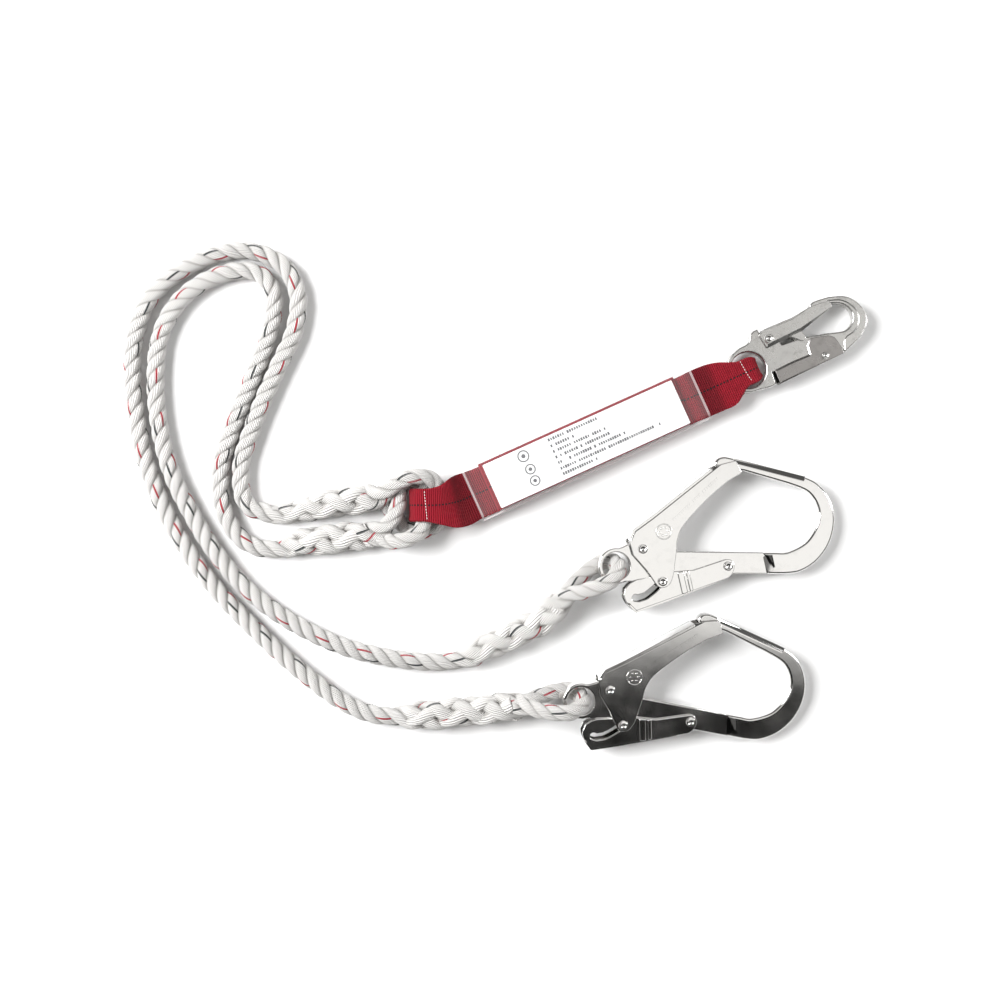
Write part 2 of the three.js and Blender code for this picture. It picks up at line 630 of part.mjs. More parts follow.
function splice(route, eye) {
  return taperedBar(route, 12, 10).add(tube(eye, EYE_R, 24, 8));
}

// A thimble is a thin gutter that lines the inside of a hook's rope eye.
function thimble({ route, middle }) {
  const path = new THREE.CatmullRomCurve3(route.map(vec), false, 'centripetal');
  const inside = vec(middle);
  const steps = 14;
  const rings = [];
  for (let s = 0; s <= steps; s++) {
    const t = 0.2 + (0.56 * s) / steps;
    const point = path.getPoint(t);
    const along = path.getTangent(t);
    const inward = inside.clone().sub(point);
    inward.addScaledVector(along, -inward.dot(along)).normalize();
    const side = along.clone().cross(inward);
    const face = EYE_R + GAP;
    const corner = (depth, width) => point.clone()
      .addScaledVector(inward, depth)
      .addScaledVector(side, width);
    rings.push([
      corner(face, THIMBLE_W / 2), corner(face + THIMBLE_T, THIMBLE_W / 2),
      corner(face + THIMBLE_T, -THIMBLE_W / 2), corner(face, -THIMBLE_W / 2),
    ]);
  }
  return loft(rings);
}

function ropeLegs() {
  const group = new THREE.Group();
  const tubeOf = (route) => tube(route, ROPE_D / 2, 40, 8);
  group.add(
    named('rope_end_webbing', ropeEndStrap(), webbing),
    named('upper_leg_rope', tubeOf(UPPER_ROUTE), rope),
    named('lower_leg_rope', tubeOf(LOWER_ROUTE), rope),
    named('upper_leg_pack_splice', splice(UPPER_PACK_SPLICE, UPPER_PACK_EYE), rope),
    named('lower_leg_pack_splice', splice(LOWER_PACK_SPLICE, LOWER_PACK_EYE), rope),
    named('upper_leg_hook_splice', splice(UPPER_HOOK_SPLICE, upperEye.route), rope),
    named('lower_leg_hook_splice', splice(LOWER_HOOK_SPLICE, lowerEye.route), rope),
    named('upper_thimble', thimble(upperEye), nylon),
    named('lower_thimble', thimble(lowerEye), nylon),
  );
  return group;
}

const lanyard = new THREE.Group();
lanyard.add(
  absorber(),
  snapHook(SNAP_HOOK),
  scaffoldHook('upper_hook', UPPER_HOOK),
  scaffoldHook('lower_hook', LOWER_HOOK),
  ropeLegs(),
);

export default lanyard;
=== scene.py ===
# %% [markdown]
# # A twin-leg shock absorbing lanyard
# A fall-arrest lanyard lies flat on a pale floor: a sewn energy absorber in a clear sleeve, a snap hook
# on one end of it, and on the other end two legs of laid rope that each finish in a scaffold hook.
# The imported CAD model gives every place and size. Here each plain solid gets its real surface: rope
# becomes twisted strands, webbing gets its weave, and the hooks get pressed and forged edges.

# %% Load the frame
import json
import math

import bmesh
import bpy
import numpy as np
from mathutils import Matrix, Quaternion, Vector
from mathutils.geometry import tessellate_polygon


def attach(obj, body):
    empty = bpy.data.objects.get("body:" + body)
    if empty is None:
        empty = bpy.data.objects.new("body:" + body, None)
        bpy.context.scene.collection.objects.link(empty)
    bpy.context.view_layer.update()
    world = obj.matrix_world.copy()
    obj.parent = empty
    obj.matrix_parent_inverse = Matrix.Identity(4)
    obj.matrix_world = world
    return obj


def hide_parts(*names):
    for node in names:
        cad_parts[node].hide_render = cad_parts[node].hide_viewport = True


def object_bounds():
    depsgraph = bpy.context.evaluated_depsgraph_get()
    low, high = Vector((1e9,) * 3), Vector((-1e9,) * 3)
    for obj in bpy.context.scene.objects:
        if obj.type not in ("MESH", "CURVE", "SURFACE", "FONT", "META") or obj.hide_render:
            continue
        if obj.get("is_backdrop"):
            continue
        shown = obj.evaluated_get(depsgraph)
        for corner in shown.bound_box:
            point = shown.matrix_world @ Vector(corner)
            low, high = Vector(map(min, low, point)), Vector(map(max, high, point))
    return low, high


MM = 0.001
TURN = 2 * math.pi
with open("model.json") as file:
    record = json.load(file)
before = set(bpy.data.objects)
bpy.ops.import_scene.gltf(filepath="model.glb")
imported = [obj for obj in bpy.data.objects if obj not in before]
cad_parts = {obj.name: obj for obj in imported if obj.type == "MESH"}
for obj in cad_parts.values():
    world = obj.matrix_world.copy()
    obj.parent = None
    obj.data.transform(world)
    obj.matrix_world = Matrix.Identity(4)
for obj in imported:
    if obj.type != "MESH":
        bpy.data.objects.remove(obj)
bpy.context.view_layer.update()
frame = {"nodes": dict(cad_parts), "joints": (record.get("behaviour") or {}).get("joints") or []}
joints = {j["name"]: j for j in frame["joints"]}
scene = bpy.context.scene
print(f"frame: {len(frame['nodes'])} nodes, {len(joints)} joints")

# %% [markdown]
# ## Camera
# The lanyard is looked at from straight above, as for a catalogue. A camera hung 1.25 m over the floor
# keeps a little perspective, so the sides of the tilted hooks still show. It is made first, because
# the ropes are measured against what it sees.

# %% Camera
CAMERA_PLACE = (-0.0771, -0.0494, 1.25)
CAMERA_LENS = 49.6
CAMERA_REACH = 20

camera_data = bpy.data.cameras.new("camera")
camera_data.lens = CAMERA_LENS
camera_data.clip_end = CAMERA_REACH
camera = bpy.data.objects.new("camera", camera_data)
camera.location = CAMERA_PLACE
scene.collection.objects.link(camera)
scene.camera = camera
print("camera over the floor at", tuple(camera.location))

# %% [markdown]
# ## Smooth lines
# Ropes, straps and hook outlines all start as a few given points. A Catmull-Rom spline passes
# through each point, so what is typed is what is built. The centripetal kind never loops at a close
# pair of points. The result is resampled to even steps, because the rope's twist counts them.


# %% Spline helpers
FINE_STEPS = 24  # samples between two given points, before the line is resampled


def between(a, b, start, end, t):
    """The value at t on the straight line from a at start to b at end."""
    return (a * (end - t) + b * (t - start)) / (end - start)


def smooth_line(points, step):
    """Even samples of a centripetal Catmull-Rom line, and how far along it each given point lies."""
    p = np.array(points, float)
    p = np.vstack([2 * p[0] - p[1], p, 2 * p[-1] - p[-2]])
    fine, first = [], []
    for p0, p1, p2, p3 in zip(p, p[1:], p[2:], p[3:]):
        k0 = 0.0
        k1 = k0 + math.sqrt(np.linalg.norm(p1[:3] - p0[:3]))
        k2 = k1 + math.sqrt(np.linalg.norm(p2[:3] - p1[:3]))
        k3 = k2 + math.sqrt(np.linalg.norm(p3[:3] - p2[:3]))
        first.append(len(fine))
        for t in np.linspace(k1, k2, FINE_STEPS + 1)[:-1]:
            a, b = between(p0, p1, k0, k1, t), between(p1, p2, k1, k2, t)
            c = between(p2, p3, k2, k3, t)
            fine.append(between(between(a, b, k0, k2, t), between(b, c, k1, k3, t), k1, k2, t))
    first.append(len(fine))
    fine = np.array(fine + [p[-2]])
    hops = np.linalg.norm(np.diff(fine[:, :3], axis=0), axis=1)
    run = np.concatenate([[0], np.cumsum(hops)])
    even = np.linspace(0, run[-1], max(2, round(run[-1] / step) + 1))
    line = np.stack([np.interp(even, run, column) for column in fine.T], axis=1)
    return line, run[first]


# %% [markdown]
# ## Rope legs: the lines they lie on
# Each leg is one length of 16 mm three-strand rope, spliced back into itself at both ends. The free
# part runs from the pack's splice, round the big bight and on to its hook. The splices are thicker
# bars, and past each bar the rope turns through an eye. The points are the plain solids' own, in
# millimetres, so each rope lies exactly where its solid does. A splice's fourth number is its
# half-thickness, from the rope towards the throat of the eye.

# %% Rope routes
LOWER_ROUTE = [
    (-292.4, -59.4, 8.8), (-301, -57, 8.6), (-308.6, -46.6, 8.2), (-310.6, -31, 8.2),
    (-309.6, -13, 8.2), (-303.9, 5, 8.2), (-297.6, 23, 8.2), (-290.4, 41, 8.2), (-274.6, 76, 8.2),
    (-265, 96, 8.2), (-260, 115, 8.2), (-259, 133, 8.2), (-264, 150, 8.2), (-274, 163, 8.2),
    (-301, 175, 8.2), (-332, 172.5, 8.2), (-366, 156.5, 8.2), (-393, 132, 8.2), (-406, 99, 8.2),
    (-408.6, 68, 8.2), (-406, 35, 8.2), (-398.6, -7, 8.2), (-383.6, -49, 8.2), (-363.6, -87, 8.2),
    (-337.6, -124, 8.2), (-303, -161, 8.2), (-263, -198, 8.2), (-223, -228.5, 8.4), (-198, -240.6, 9),
    (-181, -243.8, 9.6), (-172.4, -244, 9.8),
]
UPPER_ROUTE = [
    (-282.4, -93.3, 8.8), (-291, -93.2, 8.6), (-309, -85.4, 8.2), (-321, -70, 8.2), (-327.6, -52, 8.2),
    (-329, -34, 8.2), (-328.2, -16, 8.2), (-322.6, 3, 8.2), (-316.4, 21, 8.2), (-309.3, 39, 8.2),
    (-293.6, 77, 8.2), (-286, 98, 8.2), (-281.6, 117, 8.2), (-281, 134, 8.2), (-288, 149.5, 8.2),
    (-301, 156.8, 8.2), (-330, 153.5, 8.2), (-362, 134, 8.2), (-382, 102, 8.2), (-387.5, 61, 8.2),
    (-384, 17, 8.2), (-373.4, -24, 8.2), (-355, -62, 8.2), (-331, -100, 8.2), (-301, -133.4, 8.2),
    (-261, -161.5, 8.2), (-212, -183.4, 8.2), (-160, -194, 8.4), (-127, -195.1, 9),
    (-118.4, -193.7, 9.2),
]
LOWER_PACK_SPLICE = [
    (-291.6, -59.6, 8.8, 8.4), (-283, -61.8, 9, 8.8), (-269, -61.4, 10, 9.8), (-253, -57.7, 11, 11),
    (-235, -53.6, 12.5, 12.3), (-212, -49.5, 13.2, 12.9), (-190, -47.6, 13.6, 12),
    (-177.5, -45, 14.4, 9),
]
UPPER_PACK_SPLICE = [
    (-281.6, -93.3, 8.8, 8.4), (-273, -93.2, 9, 8.8), (-264, -90.8, 10.2, 9.8), (-254.4, -87, 12, 11.6),
    (-235, -85, 13.2, 12.9), (-212, -82.4, 13.2, 12.9), (-193, -79.8, 14.6, 12), (-181.5, -79.6, 16, 9),
]
LOWER_HOOK_SPLICE = [
    (-171.6, -244, 9.8, 8.8), (-163, -243.9, 10.4, 9.8), (-152, -243.2, 13, 12.4),
    (-135, -241.8, 13.6, 13), (-105, -238.8, 13.6, 12.4), (-80, -236.4, 14.6, 12.8),
    (-62, -233.4, 18, 12.2), (-49, -230.8, 21, 9),
]
UPPER_HOOK_SPLICE = [
    (-117.6, -193.5, 9.2, 8.4), (-109, -192, 9.6, 9.2), (-99, -187, 12, 11), (-84, -179, 13, 12),
    (-60, -168, 14, 12.6), (-40, -157, 15.4, 12.6), (-24, -142, 18, 12.2), (-13.6, -131.4, 21, 9),
]
LOWER_PACK_EYE = [
    (-186, -45.6, 16), (-172, -36.4, 26.4), (-159, -29.8, 30), (-147, -28.4, 28.6), (-137.8, -31.4, 25),
    (-130.4, -41.6, 18.4), (-127, -55, 13.4), (-130, -66.4, 11), (-139.4, -76, 9.2),
    (-153.6, -78.4, 8.2), (-164, -72.4, 8), (-173.6, -61, 8.2), (-184, -49.6, 11),
]
UPPER_PACK_EYE = [
    (-186, -79.6, 17), (-177, -71.4, 24), (-170.4, -61.4, 24.4), (-167.4, -51, 18.6),
    (-167.4, -40.4, 11.6), (-158, -31.6, 9.4), (-148, -32.6, 10.6), (-143.4, -44.6, 12.6),
    (-142.8, -57, 15.4), (-144.6, -69.4, 21.2), (-148.6, -78, 25), (-157.6, -83.4, 26.6),
    (-169.4, -86.4, 23.6), (-186, -83.6, 17),
]
ROPE_HALF = 8.2
EYE_HALF = 7.4

# %% [markdown]
# ## Hook eyes
# A hook's rope eye turns round the rim of the steel eye and leans over to one side. The steel eye is
# where the CAD model's swing joint is, so the rope's turn is worked out from that joint. It is a half
# circle round the rim, and two legs that close to the throat behind it.

# %% Rope eyes at the hooks
EYE_TURN, EYE_RIM, EYE_LIFT = 16.6, 14.1, 0.8
EYE_LEAN = math.radians(30)
EYE_LEGS = [(12, 13.6), (24, 8.8), (33, 3.6)]  # how far back, and how far from the middle line
UPPER_HEADING, LOWER_HEADING = 30, 4.3


def hook_eye(hook, heading_degrees):
    """The middle line of a hook's rope eye in mm, from the throat and back to it, and its middle."""
    a = math.radians(heading_degrees)
    along = np.array([math.cos(a), math.sin(a), 0])
    right = np.array([math.sin(a), -math.cos(a), 0])
    up = right * math.sin(EYE_LEAN) + (0, 0, math.cos(EYE_LEAN))
    middle = np.array(joints[f"{hook}_swing"]["pos_m"]) / MM - along * EYE_RIM + (0, 0, EYE_LIFT)
    near = [middle - along * back + up * rise for back, rise in reversed(EYE_LEGS)]
    far = [middle - along * back - up * rise for back, rise in EYE_LEGS]
    turn = [
        middle + EYE_TURN * (math.cos(t) * along + math.sin(t) * up)
        for t in np.radians([90, 60, 30, 0, -30, -60, -90])
    ]
    return [tuple(p) for p in near + turn + far], middle


upper_eye, upper_eye_middle = hook_eye("upper_hook", UPPER_HEADING)
lower_eye, lower_eye_middle = hook_eye("lower_hook", LOWER_HEADING)
print("hook eyes round", np.round(upper_eye_middle), "and", np.round(lower_eye_middle), "mm")

# %% [markdown]
# ## Twist
# Three strands wind round the rope's middle line, one turn in 42 mm, like a right-hand screw. In a
# splice the lay opens out, and three more strands are tucked against the lay, over one and under the
# next. So each point of the line carries its half-thickness, how far the strands have turned by
# there, and how far a crossing lifts or sinks them. A mesh of bare edges can hold such values.

# %% Lines that carry the rope's twist
ROPE_LAY, SPLICE_LAY, TUCK_LAY = 42.0, 68.0, 112.0
TUCK_LIFT = 1.3
WEAVES = 1.5  # over-and-under pairs in one turn of a tucked strand against the lay
FULL_SPLICE = 4.0  # a line this much thicker than the rope is spliced right through
LINE_STEP = 1.7


def edge_line(name, line, **values):
    """A mesh of bare edges along a line in metres, with named values at its points."""
    mesh = bpy.data.meshes.new(name)
    mesh.from_pydata([tuple(p) for p in line], [(i, i + 1) for i in range(len(line) - 1)], [])
    for key, value in values.items():
        filled = np.ascontiguousarray(np.broadcast_to(np.float32(value), len(line)))
        mesh.attributes.new(key, "FLOAT", "POINT").data.foreach_set("value", filled)
    made = bpy.data.objects.new(name, mesh)
    scene.collection.objects.link(made)
    return made


def leg_line(pack_eye, pack_splice, route, hook_splice, hook_eye_points):
    """One leg's whole line with its twist, and how far along it each piece ends, all in mm."""
    buried = [pack_splice[-3][:3] + (EYE_HALF,)]
    turn_in = [tuple(p) + (EYE_HALF,) for p in pack_eye[:0:-1]]
    free = [tuple(p) + (ROPE_HALF,) for p in route]
    turn_out = [tuple(p) + (EYE_HALF,) for p in hook_eye_points]
    groups = [buried + turn_in, pack_splice[-2::-1], free, hook_splice[:-1],
              turn_out + [hook_splice[-3][:3] + (EYE_HALF,)]]
    line, at = smooth_line([p for group in groups for p in group], LINE_STEP)
    ends = np.cumsum([len(group) for group in groups])
    run = np.linspace(0, at[-1], len(line))
    thick = np.clip((line[:, 3] - ROPE_HALF) / FULL_SPLICE, 0, 1)
    twist = TURN / (ROPE_LAY + (SPLICE_LAY - ROPE_LAY) * thick)
    turn = np.cumsum(twist) * (run[1] - run[0])
    tuck = -TURN * run / TUCK_LAY
    return {
        "line": line[:, :3], "half": line[:, 3], "run": run, "turn": turn, "twist": twist, "tuck": tuck,
        "lift": TUCK_LIFT * thick * np.cos(WEAVES * (turn - tuck)),
        "pack_throat": at[ends[0]], "free_start": at[ends[1]], "free_end": at[ends[2] - 1],
        "hook_throat": at[ends[3] - 1],
    }


legs = {
    "upper": leg_line(UPPER_PACK_EYE, UPPER_PACK_SPLICE, UPPER_ROUTE, UPPER_HOOK_SPLICE, upper_eye),
    "lower": leg_line(LOWER_PACK_EYE, LOWER_PACK_SPLICE, LOWER_ROUTE, LOWER_HOOK_SPLICE, lower_eye),
}
for name, leg in legs.items():
    free = leg["free_end"] - leg["free_start"]
    print(f"{name} leg: {leg['run'][-1]:.0f} mm of line, {free:.0f} mm free")

# %% [markdown]
# ## Laid strands with Geometry Nodes
# A strand could be swept by hand along a spiral, but then each bend of the rope would need a new
# spiral. A node tree does it for any line: it copies the line once for each strand, turns each copy
# into a tube, and moves every point of the tube out to where its strand is at that place. A strand is
# wider than it is deep, because its neighbours squeeze it, and that gives the soft grooves of a rope.


# %% Node helpers
def new_tree(name, inputs):
    """An empty geometry tree with named inputs, given as name, socket type and starting value."""
    tree = bpy.data.node_groups.new(name, "GeometryNodeTree")
    tree.interface.new_socket("Geometry", in_out="INPUT", socket_type="NodeSocketGeometry")
    for label, kind, value in inputs:
        socket = tree.interface.new_socket(label, in_out="INPUT", socket_type=kind)
        if value is not None:
            socket.default_value = value
    tree.interface.new_socket("Geometry", in_out="OUTPUT", socket_type="NodeSocketGeometry")
    return tree, tree.nodes.new("NodeGroupInput"), tree.nodes.new("NodeGroupOutput")


def node(tree, kind, settings=None, **links):
    """Adds a node. Each link is a socket to join, or a value to set, by the input's number or name."""
    made = tree.nodes.new(kind)
    for key, value in (settings or {}).items():
        setattr(made, key, value)
    for key, value in links.items():
        socket = made.inputs[int(key[1:])] if key[0] == "i" and key[1:].isdigit() else made.inputs[key]
        if isinstance(value, bpy.types.NodeSocket):
            tree.links.new(value, socket)
        else:
            socket.default_value = value
    return made


def maths(tree, operation, a, b=0.0, c=0.0):
    """A maths node's result. Each of a, b and c is a socket or a number."""
    return node(tree, "ShaderNodeMath", {"operation": operation}, i0=a, i1=b, i2=c).outputs[0]


def vectors(tree, operation, a, b=(0.0, 0.0, 0.0)):
    made = node(tree, "ShaderNodeVectorMath", {"operation": operation}, i0=a, i1=b)
    return made.outputs[1 if operation in ("DOT_PRODUCT", "LENGTH") else 0]


def scaled(tree, vector, factor):
    made = node(tree, "ShaderNodeVectorMath", {"operation": "SCALE"}, i0=vector, Scale=factor)
    return made.outputs[0]


def read(tree, name, kind="FLOAT"):
    """A value that the geometry carries."""
    made = tree.nodes.new("GeometryNodeInputNamedAttribute")
    made.data_type = kind
    made.inputs["Name"].default_value = name
    return made.outputs["Attribute"]


def store(tree, geometry, name, value, kind="FLOAT", domain="POINT"):
    """The geometry with a value stored on it."""
    made = tree.nodes.new("GeometryNodeStoreNamedAttribute")
    made.data_type, made.domain = kind, domain
    made.inputs["Name"].default_value = name
    tree.links.new(geometry, made.inputs["Geometry"])
    tree.links.new(value, made.inputs["Value"])
    return made.outputs["Geometry"]


# %% [markdown]
# The tree stores what the line knows of itself before the line becomes a tube: its tangent, its
# normal and its middle. After that, each point of the tube still carries them. The last part works
# out where the strand is from those, and the tube's own points only say how far round they are.


# %% The laid strands tree
def laid_strands_tree():
    """The tree that turns a line and its values into strands laid round it."""
    tree, given, result = new_tree("laid strands", [
        ("From", "NodeSocketFloat", 0.0), ("To", "NodeSocketFloat", 1.0),
        ("Strands", "NodeSocketInt", 3), ("Strand Depth", "NodeSocketFloat", 4.1 * MM),
        ("Strand Width", "NodeSocketFloat", 4.8 * MM), ("Sides", "NodeSocketInt", 14),
        ("Yarn", "NodeSocketMaterial", None),
    ])
    link = tree.links.new
    curve = node(tree, "GeometryNodeMeshToCurve", Mesh=given.outputs["Geometry"]).outputs[0]
    for name, kind in (("tangent", "GeometryNodeInputTangent"), ("normal", "GeometryNodeInputNormal"),
                       ("centre", "GeometryNodeInputPosition")):
        curve = store(tree, curve, name, tree.nodes.new(kind).outputs[0], "FLOAT_VECTOR")
    trim = node(tree, "GeometryNodeTrimCurve", {"mode": "LENGTH"}, Curve=curve)
    link(given.outputs["From"], next(s for s in trim.inputs if s.identifier == "Start_001"))
    link(given.outputs["To"], next(s for s in trim.inputs if s.identifier == "End_001"))
    copies = node(tree, "GeometryNodeDuplicateElements", {"domain": "SPLINE"},
                  Geometry=trim.outputs[0], Amount=given.outputs["Strands"])
    curve = store(tree, copies.outputs[0], "strand", copies.outputs[1], "FLOAT", "CURVE")
    ring = node(tree, "GeometryNodeCurvePrimitiveCircle", {"mode": "RADIUS"},
                Resolution=given.outputs["Sides"], Radius=MM)
    step = maths(tree, "DIVIDE", TURN, given.outputs["Sides"])
    index = tree.nodes.new("GeometryNodeInputIndex").outputs[0]
    around = maths(tree, "MULTIPLY_ADD", index, step, -math.pi)
    profile = store(tree, ring.outputs[0], "around", around)
    tube = node(tree, "GeometryNodeCurveToMesh", Curve=curve)
    link(profile, tube.inputs["Profile Curve"])
    tube.inputs["Fill Caps"].default_value = True

    tangent, normal = read(tree, "tangent", "FLOAT_VECTOR"), read(tree, "normal", "FLOAT_VECTOR")
    side = vectors(tree, "CROSS_PRODUCT", tangent, normal)
    spacing = maths(tree, "DIVIDE", TURN, given.outputs["Strands"])
    turn = maths(tree, "MULTIPLY_ADD", read(tree, "strand"), spacing, read(tree, "turn"))
    cosine, sine = maths(tree, "COSINE", turn), maths(tree, "SINE", turn)
    outward = vectors(tree, "ADD", scaled(tree, normal, cosine), scaled(tree, side, sine))
    sideways = vectors(tree, "SUBTRACT", scaled(tree, side, cosine), scaled(tree, normal, sine))
    thin = read(tree, "thin")
    depth = maths(tree, "MULTIPLY", given.outputs["Strand Depth"], thin)
    width = maths(tree, "MULTIPLY", given.outputs["Strand Width"], thin)
    offset = maths(tree, "ADD", maths(tree, "SUBTRACT", read(tree, "half"), depth), read(tree, "lift"))
    slant = scaled(tree, sideways, maths(tree, "MULTIPLY", offset, read(tree, "twist")))
    heading = vectors(tree, "NORMALIZE", vectors(tree, "ADD", tangent, slant))
    across = vectors(tree, "CROSS_PRODUCT", heading, outward)
    round_the_strand = read(tree, "around")
    out = maths(tree, "MULTIPLY_ADD", depth, maths(tree, "COSINE", round_the_strand), offset)
    over = maths(tree, "MULTIPLY", width, maths(tree, "SINE", round_the_strand))
    place = vectors(tree, "ADD", read(tree, "centre", "FLOAT_VECTOR"), scaled(tree, outward, out))
    place = vectors(tree, "ADD", place, scaled(tree, across, over))
    moved = node(tree, "GeometryNodeSetPosition", Geometry=tube.outputs[0], Position=place).outputs[0]
    solid = node(tree, "GeometryNodeRealizeInstances", Geometry=moved).outputs[0]
    painted = node(tree, "GeometryNodeSetMaterial", Geometry=solid, Material=given.outputs["Yarn"])
    link(painted.outputs[0], result.inputs[0])
    print("laid strands tree:", len(tree.nodes), "nodes")
    return tree


laid_strands = laid_strands_tree()


# %% [markdown]
# ## From a node tree to a plain mesh
# A finished piece must be an ordinary mesh that sits at the origin. So the tree runs once on its
# line, the result is copied to a new mesh, and the line and its modifier go. The values that the
# materials read stay on the mesh.


# %% Run a tree and keep its result
def run_tree(tree, source, inputs):
    """Runs a geometry tree on an object and returns the result as a plain mesh."""
    modifier = source.modifiers.new(tree.name, "NODES")
    modifier.node_group = tree
    sockets = {s.name: s.identifier for s in tree.interface.items_tree if s.in_out == "INPUT"}
    for label, value in inputs.items():
        modifier[sockets[label]] = value
    bpy.context.view_layer.update()
    evaluated = source.evaluated_get(bpy.context.evaluated_depsgraph_get())
    mesh = bpy.data.meshes.new_from_object(evaluated, depsgraph=bpy.context.evaluated_depsgraph_get())
    source.modifiers.remove(modifier)
    bpy.data.objects.remove(source)
    drop_empty_slots(mesh)
    return mesh


def drop_empty_slots(mesh):
    """A node tree can leave an empty material slot before its own. This keeps only the real ones."""
    real = [m for m in mesh.materials if m]
    index = [real.index(mesh.materials[p.material_index]) for p in mesh.polygons]
    mesh.materials.clear()
    for m in real:
        mesh.materials.append(m)
    mesh.polygons.foreach_set("material_index", index)


def face_out(mesh):
    """Welds doubles and turns every face outwards."""
    work = bmesh.new()
    work.from_mesh(mesh)
    bmesh.ops.remove_doubles(work, verts=work.verts, dist=1e-7)
    bmesh.ops.recalc_face_normals(work, faces=work.faces)
    work.to_mesh(mesh)
    work.free()


def piece(name, mesh, body, slot, *nodes, material=None, smooth=40):
    """Makes a finished piece that rides on a body, in place of some CAD nodes."""
    mesh.name = name
    if material is not None:
        mesh.materials.clear()
        mesh.materials.append(material)
    mesh.polygons.foreach_set("use_smooth", [True] * len(mesh.polygons))
    if smooth:
        mesh.set_sharp_from_angle(angle=math.radians(smooth))
    made = bpy.data.objects.new(name, mesh)
    scene.collection.objects.link(made)
    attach(made, body)
    if nodes:
        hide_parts(*nodes)
    print(f"{name}: {len(mesh.vertices)} points, {len(mesh.polygons)} faces")
    return made


def joined(*meshes):
    """Several meshes as one, with their materials kept."""
    work = bmesh.new()
    materials = []
    for mesh in meshes:
        for m in mesh.materials:
            if m not in materials:
                materials.append(m)
        slots = [materials.index(m) for m in mesh.materials]
        before = len(work.faces)
        work.from_mesh(mesh)
        work.faces.ensure_lookup_table()
        for face in work.faces[before:]:
            face.material_index = slots[face.material_index] if slots else 0
    made = bpy.data.meshes.new("joined")
    work.to_mesh(made)
    work.free()
    for m in materials:
        made.materials.append(m)
    return made


# %% [markdown]
# ## Rope yarn
# The rope is white polyamide. Each strand is itself a twist of yarns that lie nearly in line with the
# rope, and one strand carries a red and a black tracer yarn. Two values from the strands tree place
# them: how far round the strand a point is, and how far along. Turned together, they give one number
# that stays the same along a yarn, so a stripe, a bump and a tracer all follow it. The colour also
# holds painted shade: darker in the crevices between yarns, and darker still at each strand's sides,
# in the grooves between strands.

# %% Shader helpers and the yarn material
def material(name, metallic=0.0, roughness=0.5, colour=None, **extra):
    """A new material, its node tree and its Principled shader."""
    made = bpy.data.materials.new(name)
    made.use_nodes = True
    shader = made.node_tree.nodes["Principled BSDF"]
    shader.inputs["Metallic"].default_value = metallic
    shader.inputs["Roughness"].default_value = roughness
    if colour:
        shader.inputs["Base Color"].default_value = (*colour, 1)
    for key, value in extra.items():
        shader.inputs[key.replace("_", " ")].default_value = value
    return made, made.node_tree, shader


def noise(tree, scale, detail=4.0):
    """A cloudy value in object coordinates. scale is in cycles to the metre."""
    made = tree.nodes.new("ShaderNodeTexNoise")
    made.inputs["Scale"].default_value = scale
    made.inputs["Detail"].default_value = detail
    tree.links.new(tree.nodes.new("ShaderNodeTexCoord").outputs["Object"], made.inputs["Vector"])
    return made.outputs["Fac"]


def spread(tree, value, low, high, to_low=0.0, to_high=1.0, smooth=False):
    """Maps a value from one range to another, and holds it at the ends."""
    made = tree.nodes.new("ShaderNodeMapRange")
    if smooth:
        made.interpolation_type = "SMOOTHSTEP"
    tree.links.new(value, made.inputs["Value"])
    for key, number in zip(("From Min", "From Max", "To Min", "To Max"), (low, high, to_low, to_high)):
        made.inputs[key].default_value = number
    return made.outputs["Result"]


def blend_colour(tree, factor, first, second):
    """Mixes two colours; either may be a socket or three numbers."""
    made = tree.nodes.new("ShaderNodeMix")
    made.data_type = "RGBA"
    sockets = {s.identifier: s for s in made.inputs}
    tree.links.new(factor, sockets["Factor_Float"])
    for key, value in (("A_Color", first), ("B_Color", second)):
        if isinstance(value, bpy.types.NodeSocket):
            tree.links.new(value, sockets[key])
        else:
            sockets[key].default_value = (*value, 1)
    return next(s for s in made.outputs if s.identifier == "Result_Color")


def mottle(tree, shader, scale, first, second, detail=4.0):
    """Lets a cloudy noise blend two colours into the shader's base colour."""
    mixed = blend_colour(tree, noise(tree, scale, detail), first, second)
    tree.links.new(mixed, shader.inputs["Base Color"])


def bump(tree, shader, height, distance, strength=1.0, under=None):
    made = tree.nodes.new("ShaderNodeBump")
    made.inputs["Distance"].default_value = distance
    made.inputs["Strength"].default_value = strength
    tree.links.new(height, made.inputs["Height"])
    if under is not None:
        tree.links.new(under, made.inputs["Normal"])
    tree.links.new(made.outputs["Normal"], shader.inputs["Normal"])
    return made.outputs["Normal"]


def attribute(tree, name):
    made = tree.nodes.new("ShaderNodeAttribute")
    made.attribute_name = name
    return made.outputs["Fac"]


YARNS = 16  # to a strand
RED_YARN, BLACK_YARN = (0.42, 0.015, 0.03), (0.03, 0.035, 0.035)
TRACERS = ((0.0, RED_YARN), (2.27, BLACK_YARN))  # how far round the strand each lies
LAID_SLOPE, TUCKED_SLOPE = 318.0, -90.0


